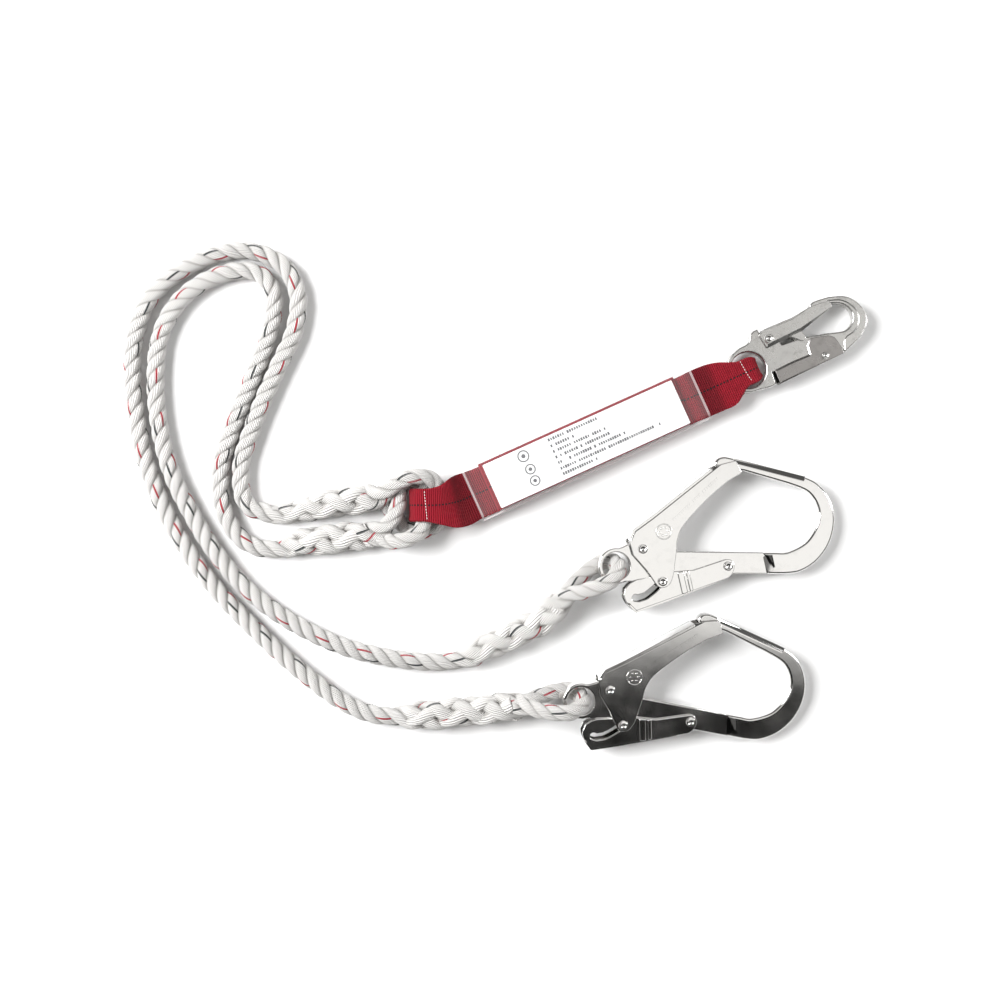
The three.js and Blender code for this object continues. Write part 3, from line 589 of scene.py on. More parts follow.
def yarn_material(name, tracers, slope):
    """slope is how many radians a yarn turns round its strand for each metre of rope."""
    made, tree, shader = material(name, roughness=0.78, Sheen_Weight=0.25)
    around = attribute(tree, "around")
    phase = maths(tree, "MULTIPLY_ADD", attribute(tree, "along"), slope, around)
    yarns = maths(tree, "SINE", maths(tree, "MULTIPLY", phase, YARNS))
    fuzz = noise(tree, 1400.0, 3.0)
    tone = blend_colour(tree, noise(tree, 60.0, 3.0), (0.90, 0.885, 0.865), (0.80, 0.785, 0.765))
    # Painted shade: the colour is darker in the crevices between yarns.
    tone = blend_colour(tree, spread(tree, yarns, -1.0, 0.0, 0.6, 0.0), tone, (0.50, 0.48, 0.46))
    # Painted shade in the grooves between strands, darker towards each strand's sides.
    groove_shade_paint = spread(tree, maths(tree, "ABSOLUTE", around), 0.75, 1.75, 0.0, 0.8, smooth=True)
    tone = blend_colour(tree, groove_shade_paint, tone, (0.30, 0.28, 0.26))
    if tracers:
        first_strand = maths(tree, "LESS_THAN", attribute(tree, "strand"), 0.5)
        for centre, colour in TRACERS:
            offset = maths(tree, "WRAP", maths(tree, "SUBTRACT", phase, centre), math.pi, -math.pi)
            near = spread(tree, maths(tree, "ABSOLUTE", offset), 0.26, 0.2)
            stripe = maths(tree, "MULTIPLY", near, first_strand)
            tone = blend_colour(tree, stripe, tone, colour)
    tree.links.new(tone, shader.inputs["Base Color"])
    height = maths(tree, "MULTIPLY_ADD", fuzz, 0.5, yarns)
    bump(tree, shader, height, 0.0006, 1.0)
    return made


yarn = yarn_material("rope_yarn", True, LAID_SLOPE)
tucked_yarn = yarn_material("tucked_yarn", False, TUCKED_SLOPE)
print("yarns:", yarn.name, "and", tucked_yarn.name)

# %% [markdown]
# ## The two legs
# Each leg is cut into three pieces along one unbroken line, so its strands run on from piece to piece
# without a step. The free rope is the cord itself. The splices hold their three strands, and the
# three tucked ones that taper off towards the free rope.

# %% Ropes and splices
STRAND_DEPTH, STRAND_WIDTH, STRAND_SIDES = 4.1, 4.75, 14
SPLICE_SWELL = 0.36  # how much fatter the opened strands of a splice are
TAIL = 12  # the tucked strands end this far short of the free rope
TAPER = ([0, 0.7, 0.94, 1], [1, 0.95, 0.5, 0.3])  # the part of the way to the free rope, and thickness
FLOOR_GAP = 0.05


def strands(leg, start, end, turn, lift_sign, thin, yarn_of):
    """Three strands of a leg between two distances along it, as a plain mesh."""
    twist = np.gradient(leg[turn], leg["run"])
    thin = thin * (1 + SPLICE_SWELL * np.clip((leg["half"] - ROPE_HALF) / FULL_SPLICE, 0, 1))
    source = edge_line(
        "leg line", leg["line"] * MM, half=leg["half"] * MM, turn=leg[turn], twist=twist / MM,
        thin=thin, lift=lift_sign * leg["lift"] * MM, along=leg["run"] * MM)
    mesh = run_tree(laid_strands, source, {
        "From": start * MM, "To": end * MM, "Strands": 3, "Strand Depth": STRAND_DEPTH * MM,
        "Strand Width": STRAND_WIDTH * MM, "Sides": STRAND_SIDES, "Yarn": yarn_of})
    for vertex in mesh.vertices:
        vertex.co.z = max(vertex.co.z, FLOOR_GAP * MM)
    face_out(mesh)
    return mesh


for name, leg in legs.items():
    run, whole = leg["run"], leg["run"][-1]
    body = strands(leg, leg["free_start"], leg["free_end"], "turn", 1, 1.0, yarn)
    rope = piece(f"{name}_leg_rope_laid", body, "pack", "white_rope", f"{name}_leg_rope", smooth=0)
    inside = (run >= leg["free_start"] - 1) & (run <= leg["free_end"] + 1)
    route = leg["line"][inside] * MM
    pack_tail, hook_tail = leg["free_start"], leg["free_end"]
    pack_throat, hook_throat = leg["pack_throat"], leg["hook_throat"]
    for place, start, end, throat, tail, tucks in (
        ("pack", 0.0, pack_tail, pack_throat, pack_tail, (pack_throat, pack_tail - TAIL)),
        ("hook", hook_tail, whole, hook_throat, hook_tail, (hook_tail + TAIL, hook_throat)),
    ):
        laid = strands(leg, start, end, "turn", 1, 1.0, yarn)
        to_tail = np.clip((run - throat) / (tail - throat), 0, 1)
        thin = np.interp(to_tail, *TAPER)
        tucked = strands(leg, *tucks, "tuck", -1, thin, tucked_yarn)
        piece(f"{name}_leg_{place}_splice_laid", joined(laid, tucked), "pack", "white_rope",
              f"{name}_leg_{place}_splice", smooth=0)

# %% [markdown]
# ## Lofted bodies
# Straps, thimbles, coil springs and rivets are all one idea: a cross-section carried along a line.
# A loft takes a list of rings with the same number of points and joins each to the next.

# %% Loft, lathe and tube
def loft(rings, caps=True, loop=False, uv=None):
    """A closed body from rings of points. With loop, the last ring joins the first again."""
    rings = np.array(rings, float)
    count, sides = rings.shape[:2]
    faces = []
    for r in range(count if loop else count - 1):
        for k in range(sides):
            a, b = r * sides + k, r * sides + (k + 1) % sides
            c = ((r + 1) % count) * sides
            faces.append((a, b, c + (k + 1) % sides, c + k))
    if caps and not loop:
        faces += [tuple(range(sides))[::-1], tuple((count - 1) * sides + k for k in range(sides))]
    mesh = bpy.data.meshes.new("loft")
    mesh.from_pydata(rings.reshape(-1, 3).tolist(), [], faces)
    if uv is not None:
        flat = np.array(uv, float).reshape(-1, 2)
        layer = mesh.uv_layers.new(name="strap")
        index = np.empty(len(mesh.loops), np.int32)
        mesh.loops.foreach_get("vertex_index", index)
        layer.data.foreach_set("uv", np.float32(flat[index]).ravel())
    face_out(mesh)
    return mesh


def lathe(profile, sides=32):
    """Turns a closed (radius, height) profile round +Z. The ends of the profile lie on the axis."""
    rings = []
    a = np.arange(sides) * TURN / sides
    for radius, height in profile:
        radius = max(radius, 1e-5)
        rings.append(np.stack([radius * np.cos(a), radius * np.sin(a), np.full(sides, height)], axis=1))
    return loft(rings)


def wire(line, radius, sides=10):
    """A round wire along a line."""
    line = np.array(line, float)
    ahead = np.gradient(line, axis=0)
    ahead /= np.linalg.norm(ahead, axis=1)[:, None]
    side = np.cross(ahead, (0.0, 0.0, 1.0))
    bad = np.linalg.norm(side, axis=1) < 1e-6
    side[bad] = (1, 0, 0)
    side /= np.linalg.norm(side, axis=1)[:, None]
    over = np.cross(side, ahead)
    a = (np.arange(sides) * TURN / sides)[None, :, None]
    return loft(line[:, None] + radius * (np.cos(a) * side[:, None] + np.sin(a) * over[:, None]))


def placed(mesh, matrix):
    """Moves a mesh's points, so that its object can stay at the origin."""
    mesh.transform(matrix)
    return mesh


# %% [markdown]
# ## Thimbles
# A grey nylon gutter lines each rope eye where it bears on the steel. It follows the eye's line at
# the rope's inner face, and its lips curl round the rope so that the rope can't climb out.

# %% Thimbles
GUTTER_FROM, GUTTER_TO = 0.2, 0.76  # the part of the eye's line that the gutter covers
GUTTER_WALL = 0.9


def thimble(route, middle):
    """The gutter of a rope eye: a curled section that faces the eye's middle."""
    line, _ = smooth_line(route, 1.2)
    line = line[round(len(line) * GUTTER_FROM) : round(len(line) * GUTTER_TO)]
    ahead = np.gradient(line, axis=0)
    ahead /= np.linalg.norm(ahead, axis=1)[:, None]
    inward = middle - line
    inward -= ahead * np.sum(inward * ahead, axis=1)[:, None]
    inward /= np.linalg.norm(inward, axis=1)[:, None]
    side = np.cross(ahead, inward)
    lips = [(-2.9, 6.9), (-2.2, 7.25), (-1.1, 7.45), (0, 7.5), (1.1, 7.45), (2.2, 7.25), (2.9, 6.9)]
    section = lips + [(w, d + GUTTER_WALL) for w, d in reversed(lips)]
    rings = [[p + i * d + s * w for w, d in section] for p, i, s in zip(line, inward, side)]
    return loft(np.array(rings) * MM)


nylon, tree, shader = material("grey_nylon_shell", roughness=0.42, colour=(0.46, 0.44, 0.42))
bump(tree, shader, noise(tree, 700.0, 3.0), 0.00015, 0.35)
for name, route, middle in (
    ("upper", upper_eye, upper_eye_middle),
    ("lower", lower_eye, lower_eye_middle),
):
    piece(f"{name}_thimble_gutter", thimble(route, middle), "pack", "grey_nylon", f"{name}_thimble",
          material=nylon)

# %% [markdown]
# ## Webbing
# The straps are woven red polyester. The strap's UV map is in metres: along the strap and across it
# from its middle. That lets one material draw the weave the right size everywhere: cross ribs every
# 1.8 mm, a plain weave inside each rib, and a black tracer yarn that shows as dashes down the middle.
# Where the strap comes out of the sleeve it is darker: a painted shadow of the sleeve. The hollows of
# the weave are darkened too, as painted shade.

# %% Webbing material
RIB_PITCH, THREAD_PITCH = 0.0018, 0.0011
DASH_PITCH, DASH_PART, DASH_HALF = 0.0032, 0.6, 0.0007
TUCK_PLACE = 0.024  # along the strap, where it comes out of the sleeve and is in its shade


def webbing_material(name):
    made, tree, shader = material(name, roughness=0.85, Sheen_Weight=0.02, Specular_IOR_Level=0.2)
    uv = tree.nodes.new("ShaderNodeUVMap")
    uv.uv_map = "strap"
    parts = tree.nodes.new("ShaderNodeSeparateXYZ")
    tree.links.new(uv.outputs["UV"], parts.inputs[0])
    along, across = parts.outputs[0], parts.outputs[1]
    ribs = maths(tree, "SINE", maths(tree, "MULTIPLY", along, TURN / RIB_PITCH))
    threads = maths(tree, "SINE", maths(tree, "MULTIPLY", across, TURN / THREAD_PITCH))
    weave = maths(tree, "MULTIPLY_ADD", maths(tree, "MULTIPLY", ribs, threads), 0.5, ribs)
    red = blend_colour(tree, noise(tree, 90.0, 4.0), (0.42, 0.010, 0.028), (0.32, 0.007, 0.019))
    # Painted shade: the hollows of the weave are darker.
    red = blend_colour(tree, spread(tree, weave, -1.4, 0.1, 0.85, 0.0), red, (0.10, 0.004, 0.008))
    # Painted shadow of the sleeve: the strap is darker near where it comes out of it.
    from_sleeve = maths(tree, "ABSOLUTE", maths(tree, "SUBTRACT", along, TUCK_PLACE))
    shade = spread(tree, from_sleeve, 0.007, 0.016, 0.6, 0.0, smooth=True)
    red = blend_colour(tree, shade, red, (0.09, 0.004, 0.008))
    dash = maths(tree, "FRACT", maths(tree, "MULTIPLY", along, 1 / DASH_PITCH))
    dash = maths(tree, "LESS_THAN", dash, DASH_PART)
    middle = maths(tree, "LESS_THAN", maths(tree, "ABSOLUTE", across), DASH_HALF)
    red = blend_colour(tree, maths(tree, "MULTIPLY", dash, middle), red, (0.012, 0.01, 0.012))
    tree.links.new(red, shader.inputs["Base Color"])
    height = maths(tree, "MULTIPLY_ADD", noise(tree, 1800.0, 2.0), 0.4, weave)
    bump(tree, shader, height, 0.0006, 1.0)
    return made


webbing = webbing_material("red_webbing_weave")
print("webbing:", webbing.name)

# %% [markdown]
# ## Strap loops
# A strap follows stations: where its middle is, which way it heads in plan, how wide it is to each
# side, and how far it has turned over. At the loops the strap is folded in at both edges to fit its
# hook or its ropes, so it gets narrower and thicker there. The rounded cross-section takes that up.

# %% Straps
PACK_ANGLE = 24.3
STRAP_T = 2.4
STRAP_POINTS, ROUND_PART, THINNEST = 22, 0.05, 0.04
FOLD_FROM, FOLD_RISE = 0.55, 0.8  # where a folded edge starts, and what it adds to half the thickness
OPEN_HALF, FOLDED_HALF = 21, 13  # a strap this wide to each side is open, and is fully folded
pack_turn = Matrix.Rotation(math.radians(PACK_ANGLE), 4, "Z")


def strap_section(left, right, fold):
    """The strap's cross-section as (across, height) points. Folded edges are up to twice as thick."""
    top = []
    for k in range(STRAP_POINTS + 1):
        v = -1 + 2 * k / STRAP_POINTS
        across = v * (left if v > 0 else right)
        half = STRAP_T / 2 + fold * max(0, (abs(v) - FOLD_FROM)) / (1 - FOLD_FROM) * FOLD_RISE
        edge = min(1, (1 - abs(v)) / ROUND_PART)
        top.append((across, half * math.sqrt(max(THINNEST, 1 - (1 - edge) ** 2))))
    return top[::-1] + [(a, -min(h, STRAP_T / 2)) for a, h in top]


def strap(stations, step=1.5):
    """A strap through stations of x, y, z, heading, width to the left and right, and turn over."""
    line, _ = smooth_line(stations, step)
    rings, uv, run = [], [], 0.0
    for i, (x, y, z, heading, left, right, tilt) in enumerate(line):
        if i:
            run += np.linalg.norm(line[i, :3] - line[i - 1, :3])
        h, t = math.radians(heading), math.radians(tilt)
        across = np.array([-math.sin(h), math.cos(h), 0])
        normal = np.array([math.cos(h) * math.sin(t), math.sin(h) * math.sin(t), math.cos(t)])
        fold = (OPEN_HALF - (left + right) / 2) / (OPEN_HALF - FOLDED_HALF)
        section = strap_section(left, right, np.clip(fold, 0, 1))
        rings.append([np.array([x, y, z]) + across * a + normal * b for a, b in section])
        uv.append([(run * MM, a * MM) for a, b in section])
    return loft(np.array(rings) * MM, uv=uv)


def turn_stations(centre, radius_x, radius_z, heading, half):
    """Stations of a loop's half turn, from its top to its underside. half gives the width."""
    made = []
    for degrees in np.arange(90, -91, -15.0):
        a = math.radians(degrees)
        width = half(a)
        made.append((centre[0] + radius_x * math.cos(a), centre[1], centre[2] + radius_z * math.sin(a),
                     heading, width, width, 90 - degrees))
    return made


hook_end_stations = [
    (93, 0, 14.4, 0, 21.6, 22.2, 0), (100, 0, 14.4, 0, 21.6, 22.2, 0),
    (113, 0, 14.8, 0, 22, 22.6, -5), (126, 0, 16.2, 0, 21.4, 22.8, -5),
    (138, 0, 17.6, 0, 18.6, 22.4, -3), (146, 0, 18, 0, 15, 17.4, 0), (153, 0, 18, 0, 12.4, 12.6, 0),
    *turn_stations((160.6, 0, 10), 8.6, 8, 0, lambda a: 8.6 + 3.6 * abs(math.sin(a))),
    (153, 0, 2, 0, 12.4, 12.6, 180), (146, 0, 2, 0, 15, 17.4, 180), (138, 0, 2.6, 0, 18.6, 22.4, 183),
    (126, 0, 5.6, 0, 21.4, 22.8, 190), (113, 0, 8.4, 0, 22, 22.6, 187),
    (100, 0, 9.4, 0, 21.6, 22.2, 180), (93, 0, 9.4, 0, 21.6, 22.2, 180),
]
backwards = PACK_ANGLE + 180
rope_end_stations = [
    (-85.2, -38.5, 14.4, backwards, 22, 22, 0), (-91.6, -41.4, 14.4, backwards, 22, 22, 0),
    (-103, -46, 15, backwards, 22.4, 22.4, 6),
    (-110.5, -49.4, 18.6, 198, 23.4, 23, 25), (-119, -52, 25.4, 190, 22.4, 21.6, 30),
    (-128, -53.5, 29.8, 184, 18.4, 17.6, 12), (-137, -54, 31.1, 180, 15.6, 15.4, 0),
    *turn_stations((-142.5, -54, 16.5), -14.6, 14.6, 180, lambda a: 14.6),
    (-137, -54, 1.9, 180, 15.6, 15.4, 180), (-128, -53.5, 1.9, 184, 18.4, 17.6, 180),
    (-119, -52, 3.2, 190, 22.4, 21.6, 170), (-110.5, -49.4, 6.4, 198, 23.4, 23, 160),
    (-103, -46, 8.8, backwards, 22.4, 22.4, 170), (-91.6, -41.4, 9.4, backwards, 22, 22, 180),
    (-85.2, -38.5, 9.4, backwards, 22, 22, 180),
]
piece("hook_end_strap", placed(strap(hook_end_stations), pack_turn), "pack", "red_webbing",
      "hook_end_webbing", material=webbing)
piece("rope_end_strap", strap(rope_end_stations), "pack", "red_webbing", "rope_end_webbing",
      material=webbing)

# %% [markdown]
# ## Stitches
# Each loop is closed by a row of thick white thread. A node tree puts one small rounded stitch at each
# step of a line on the strap, turned along that line.

# %% Stitches
STITCH_STEP, STITCH_LENGTH, STITCH_THREAD = 2.4, 0.95, 0.38


def stitch_tree():
    """The tree that puts a rounded stitch at each step of a line."""
    tree, given, result = new_tree("stitches", [
        ("Step", "NodeSocketFloat", STITCH_STEP * MM),
        ("Length", "NodeSocketFloat", STITCH_LENGTH * MM),
        ("Thread", "NodeSocketFloat", STITCH_THREAD * MM), ("Material", "NodeSocketMaterial", None)])
    link = tree.links.new
    curve = node(tree, "GeometryNodeMeshToCurve", Mesh=given.outputs["Geometry"]).outputs[0]
    points = node(tree, "GeometryNodeCurveToPoints", {"mode": "LENGTH"}, Curve=curve)
    link(given.outputs["Step"], points.inputs["Length"])
    ball = node(tree, "GeometryNodeMeshUVSphere", Segments=8, Rings=5, Radius=1.0).outputs[0]
    size = tree.nodes.new("ShaderNodeCombineXYZ")
    for index, value in enumerate(("Thread", "Thread", "Length")):
        link(given.outputs[value], size.inputs[index])
    copies = node(tree, "GeometryNodeInstanceOnPoints", Points=points.outputs[0], Instance=ball,
                  Rotation=points.outputs["Rotation"], Scale=size.outputs[0])
    solid = node(tree, "GeometryNodeRealizeInstances", Geometry=copies.outputs[0])
    painted = node(tree, "GeometryNodeSetMaterial", Geometry=solid.outputs[0],
                   Material=given.outputs["Material"])
    link(painted.outputs[0], result.inputs[0])
    return tree


stitches = stitch_tree()
thread, tree, shader = material("white_thread", roughness=0.7)
mottle(tree, shader, 900.0, (0.80, 0.72, 0.70), (0.62, 0.52, 0.50))
bump(tree, shader, noise(tree, 3000.0), 0.0001, 0.5)


def stitch_row(name, points, place=Matrix.Identity(4)):
    """A row of stitches along a line of points in mm, as a piece of its own."""
    line, _ = smooth_line(points, 0.6)
    mesh = run_tree(stitches, edge_line("stitch line", line * MM), {
        "Step": STITCH_STEP * MM, "Length": STITCH_LENGTH * MM, "Thread": STITCH_THREAD * MM,
        "Material": thread})
    piece(name, placed(mesh, place), "pack", "red_webbing")


HOOK_LOOP_ROW = [(155.8, 10.6, 19.6), (156.4, 4.5, 19.3), (156.9, -1.5, 19.3), (158.8, -10.3, 19.2)]
ROPE_LOOP_ROW = [(-143.9, -42.6, 32.6), (-143.2, -50, 32.4), (-142.4, -58, 32.4), (-141.6, -65.6, 32.6)]
stitch_row("hook_loop_stitches", HOOK_LOOP_ROW, pack_turn)
stitch_row("rope_loop_stitches", ROPE_LOOP_ROW)

# %% [markdown]
# ## The energy absorber
# Inside the sleeve the same strap is folded back and forth on itself. In a fall its stitching tears
# out layer by layer and the strap pays out. Seen at its edges it is a stack of seven layers joined by
# turns, so it is one long ribbon that is swept over a path that goes to and fro.

# %% Folded strap stack
LAYERS, LAYER_PITCH, CORE_HALF, CORE_SHIFT = 7, 2.6, 22.7, 1.0
STACK_REACH, STACK_LOW, SAG = 93.5, 3.9, 0.12
LAYER_SECTION = [(-CORE_HALF, 0.7), (-CORE_HALF + 1, 1.1), (-8, 1.15), (8, 1.15), (CORE_HALF - 1, 1.1),
                 (CORE_HALF, 0.7)]  # across, and half the thickness there


def serpentine():
    """The ribbon's path in the pack's XZ plane, in mm, as (x, z, direction angle)."""
    path, turn = [], LAYER_PITCH / 2
    for layer in range(LAYERS):
        z = STACK_LOW + layer * LAYER_PITCH
        way = 1 if layer % 2 == 0 else -1
        for x in np.linspace(-STACK_REACH, STACK_REACH, 95) * way:
            path.append((x, z + SAG * math.sin(x * 0.11 + layer), 0 if way > 0 else math.pi))
        if layer < LAYERS - 1:
            for a in np.radians([-60, -30, 0, 30, 60]):
                path.append((way * (STACK_REACH + turn * math.cos(a)), z + turn + turn * math.sin(a),
                             (math.pi / 2 + a) if way > 0 else (math.pi / 2 - a)))
    return path


def folded_stack():
    """The whole ribbon, swept along its path to and fro."""
    section = LAYER_SECTION + [(a, -h) for a, h in reversed(LAYER_SECTION)]
    rings, uv, run, last = [], [], 0.0, None
    for x, z, angle in serpentine():
        if last:
            run += math.hypot(x - last[0], z - last[1])
        last = (x, z)
        normal = np.array([-math.sin(angle), 0, math.cos(angle)])
        rings.append([np.array([x, a + CORE_SHIFT, z]) + normal * b for a, b in section])
        uv.append([(run * MM, a * MM) for a, b in section])
    return loft(np.array(rings) * MM, uv=uv)


piece("absorber_folded_strap", placed(folded_stack(), pack_turn), "pack", "red_webbing",
      "absorber_core", material=webbing)

# %% [markdown]
# ## Pressed and forged plates
# Every hook part is a flat shape with a height: the forged body, and the pressed cheeks of the gates
# and levers. Its outline mixes straight runs with smooth ones, and some corners are rounded after that.

# %% Outlines
def outline(start, *runs):
    """A closed outline in mm. A tuple is a straight run's end, and a list is a smooth run."""
    points = [start]
    for run in runs:
        if isinstance(run, tuple):
            points.append(run)
            continue
        knots = np.array([points[-1], *run], float)
        for i in range(len(knots) - 1):
            p0, p1, p2 = knots[max(i - 1, 0)], knots[i], knots[i + 1]
            p3 = knots[min(i + 2, len(knots) - 1)]
            count = max(3, round(np.linalg.norm(p2 - p1) / 1.2))
            for t in np.arange(1, count + 1) / count:
                v0, v1 = (p2 - p0) / 2, (p3 - p1) / 2
                points.append(tuple((2 * p1 - 2 * p2 + v0 + v1) * t**3
                                    + (-3 * p1 + 3 * p2 - 2 * v0 - v1) * t**2 + v0 * t + p1))
    return points


def circle(centre, radius, sides=56, start=0.0, sweep=360.0):
    """Points of a circle, or of an arc of it, by degrees."""
    a = np.radians(start + sweep * np.arange(sides + (sweep != 360)) / sides)
    return [(centre[0] + radius * math.cos(t), centre[1] + radius * math.sin(t)) for t in a]


def soft_corners(points, radius):
    """Turns each sharp corner of a closed outline into a short round."""
    p = np.array(points, float)
    made = []
    for before, at, after in zip(np.roll(p, 1, 0), p, np.roll(p, -1, 0)):
        u, v = before - at, after - at
        lu, lv = np.linalg.norm(u), np.linalg.norm(v)
        if lu < 1e-6 or lv < 1e-6:
            continue
        bend = math.pi - math.acos(np.clip(np.dot(u, v) / lu / lv, -1, 1))
        if bend < math.radians(22):
            made.append(tuple(at))
            continue
        cut = min(radius * math.tan(bend / 2), 0.42 * lu, 0.42 * lv)
        a, b = at + u / lu * cut, at + v / lv * cut
        for t in (0, 0.25, 0.5, 0.75, 1):
            made.append(tuple((1 - t) ** 2 * a + 2 * t * (1 - t) * at + t * t * b))
    return made


def anticlockwise(points, wanted=True):
    """The loop without doubled points, run the wanted way round."""
    p = np.array(points, float)
    keep = [i for i in range(len(p)) if np.linalg.norm(p[i] - p[i - 1]) > 0.02]
    p = p[keep]
    x, y = p[:, 0], p[:, 1]
    area = np.sum(x * np.roll(y, -1) - np.roll(x, -1) * y)
    return p if (area > 0) == wanted else p[::-1]


# %% [markdown]
# What makes a plate look like metal is its edge. A forged bow is well rounded. A pressed sheet is
# nearly sharp where it was cut, and where it was folded or ground it has a flat bevel that catches the
# light as one bright line. So each outline point has its own edge size: how far the edge runs inwards,
# how far it drops, and if it is flat.


# %% Slabs with rounded edges
def inset_loop(loop, amount):
    """Moves each point of a loop into the material, along the mitre of its two edges."""
    ahead = np.roll(loop, -1, 0) - loop
    ahead /= np.linalg.norm(ahead, axis=1)[:, None]
    left = np.stack([-ahead[:, 1], ahead[:, 0]], axis=1)
    before = np.roll(left, 1, 0)
    mitre = (left + before) / np.maximum(0.45, 1 + np.sum(left * before, axis=1))[:, None]
    return loop + mitre * np.asarray(amount)[:, None]


def slab(shape, low, high, under=0.35, over=0.35, holes=()):
    """A flat solid in mm. under and over give each edge's rounding: a size, or a function of the
    loop's points that returns how far it runs and drops at each, and 1 where it is a flat bevel."""
    loops = [anticlockwise(shape)] + [anticlockwise(hole, False) for hole in holes]
    points, faces, caps = [], [], {False: [], True: []}
    for loop in loops:
        sizes = []
        for edge in (under, over):
            even = np.ones(len(loop))
            sizes.append(edge(loop) if callable(edge) else (even * edge, even * edge, even * 0))
        layers = []
        for top, (run, drop, flat) in enumerate(sizes):
            stack = [(run + 0.3, np.zeros(len(loop)))]
            for a in np.linspace(0, math.pi / 2, 5):
                straight = a / (math.pi / 2)
                inset = run * ((1 - flat) * (1 - math.sin(a)) + flat * (1 - straight))
                fall = drop * ((1 - flat) * (1 - math.cos(a)) + flat * straight)
                stack.append((inset, fall))
            level = [(inset, high - d if top else low + d) for inset, d in stack]
            layers += level[::-1] if top else level
        start, count = len(points), len(loop)
        for inset, height in layers:
            points += [(x, y, z) for (x, y), z in zip(inset_loop(loop, inset), height)]
        for r in range(len(layers) - 1):
            for k in range(count):
                a, b = start + r * count + k, start + r * count + (k + 1) % count
                faces.append((a, b, b + count, a + count))
        caps[False].append(range(start, start + count))
        caps[True].append(range(start + (len(layers) - 1) * count, start + len(layers) * count))
    for rows in caps.values():
        index = [i for row in rows for i in row]
        rims = [[Vector((points[i][0], points[i][1], 0)) for i in row] for row in rows]
        faces += [tuple(index[i] for i in triangle) for triangle in tessellate_polygon(rims)]
    mesh = bpy.data.meshes.new("slab")
    mesh.from_pydata((np.array(points) * MM).tolist(), [], faces)
    face_out(mesh)
    return mesh


def edges_along(cut, *rules):
    """Edge sizes for a plate: cut is the plain edge's, and a rule is (line, run, drop, flat) for the
    points that lie on that line."""

    def sizes(loop):
        made = np.tile((cut, cut, 0.0), (len(loop), 1))
        for line, *size in rules:
            line = np.array(line, float)
            for row, p in zip(made, loop):
                for a, b in zip(line, line[1:]):
                    t = np.clip(np.dot(p - a, b - a) / np.dot(b - a, b - a), 0, 1)
                    if np.linalg.norm(p - a - t * (b - a)) < 0.4:
                        row[:] = size
        return made.T

    return sizes


INNER_EDGE = 0.25


def both_sides(shape, inner, outer, edge, holes=()):
    """The same cheek above and below the hook's middle plane."""
    return [
        slab(shape, inner, outer, INNER_EDGE, edge, holes),
        slab(shape, -outer, -inner, edge, INNER_EDGE, holes),
    ]


# %% [markdown]
# ## Where a hook lies
# A hook's own frame has its eye at the origin, its nose along +X and its gate towards +Y. The packed
# frame gives the swing joint at the eye and the gate's hinge with its axis, and these two are enough
# to set the hook's place: the axis is up, and the hinge is at a known spot from the eye.

# %% Hook placement
def hook_place(hook, pivot):
    """Where a hook's own frame lies. pivot is the gate's hinge in that frame, in mm."""
    eye = Vector(joints[f"{hook}_swing"]["pos_m"])
    hinge = joints[f"{hook}_gate_hinge"]
    up = Vector(hinge["axis"]).normalized()
    if up.z < 0:
        up = -up
    reach = Vector(hinge["pos_m"]) - eye
    reach -= up * reach.dot(up)
    along = Quaternion(up, -math.atan2(pivot[1], pivot[0])) @ reach.normalized()
    side = up.cross(along)
    return Matrix.Translation(eye) @ Matrix((along, side, up)).transposed().to_4x4()


def turned(point, about, degrees):
    """A point of the hook's plane, turned about another."""
    a, x, y = math.radians(degrees), point[0] - about[0], point[1] - about[1]
    return (about[0] + x * math.cos(a) - y * math.sin(a), about[1] + x * math.sin(a) + y * math.cos(a))


def rivet_mesh(at, radius, seat, head, rise):
    """A rivet with a dished round head at each end, standing at a place in the hook's frame."""
    top = [(radius, seat), (head, seat), (head, seat + rise * 0.45), (head * 0.9, seat + rise * 0.85),
           (head * 0.74, seat + rise), (head * 0.58, seat + rise), (head * 0.44, seat + rise * 0.7),
           (head * 0.22, seat + rise * 0.5), (0, seat + rise * 0.45)]
    profile = [(r, -z) for r, z in reversed(top)] + top
    solid = lathe([(r * MM, z * MM) for r, z in profile])
    return placed(solid, Matrix.Translation((at[0] * MM, at[1] * MM, 0)))


def coil(at, radius, low, turns, thick):
    """A torsion spring: a wire wound round the hinge."""
    a = np.linspace(0, TURN * turns, round(28 * turns))
    x, y = at[0] + radius * np.cos(a), at[1] + radius * np.sin(a)
    return wire(np.stack([x, y, low + thick * a / TURN], axis=1) * MM, thick / 2 * MM, 8)


def leaf(start, end, rise, thick, half_width):
    """A bowed leaf spring that stands on its edge line between two points."""
    t = np.linspace(0, 1, 14)
    x = start[0] + (end[0] - start[0]) * t
    y = start[1] + (end[1] - start[1]) * t + rise * 4 * t * (1 - t)
    top = list(zip(x, y))
    return slab(top + [(a, b - thick) for a, b in reversed(top)], -half_width, half_width, 0.15, 0.15)


# %% [markdown]
# ## Metal finishes
# The scaffold hooks are polished and plated, so they show little but what they reflect. The snap hook
# has a satin zinc coat, and its lever a darker copy of it: a painted dark reflection. All have a faint
# waviness and a little dulling, and the satin ones a fine grain as well. Roughness varies slowly over
# a part, which breaks the perfect mirror that gives computer metal away.

# %% Metals
MIRROR_ROUGHNESS = 0.2  # a smoother finish than this is a mirror, and it dulls less
MIRROR_DULLING, SATIN_DULLING = 0.95, 0.8


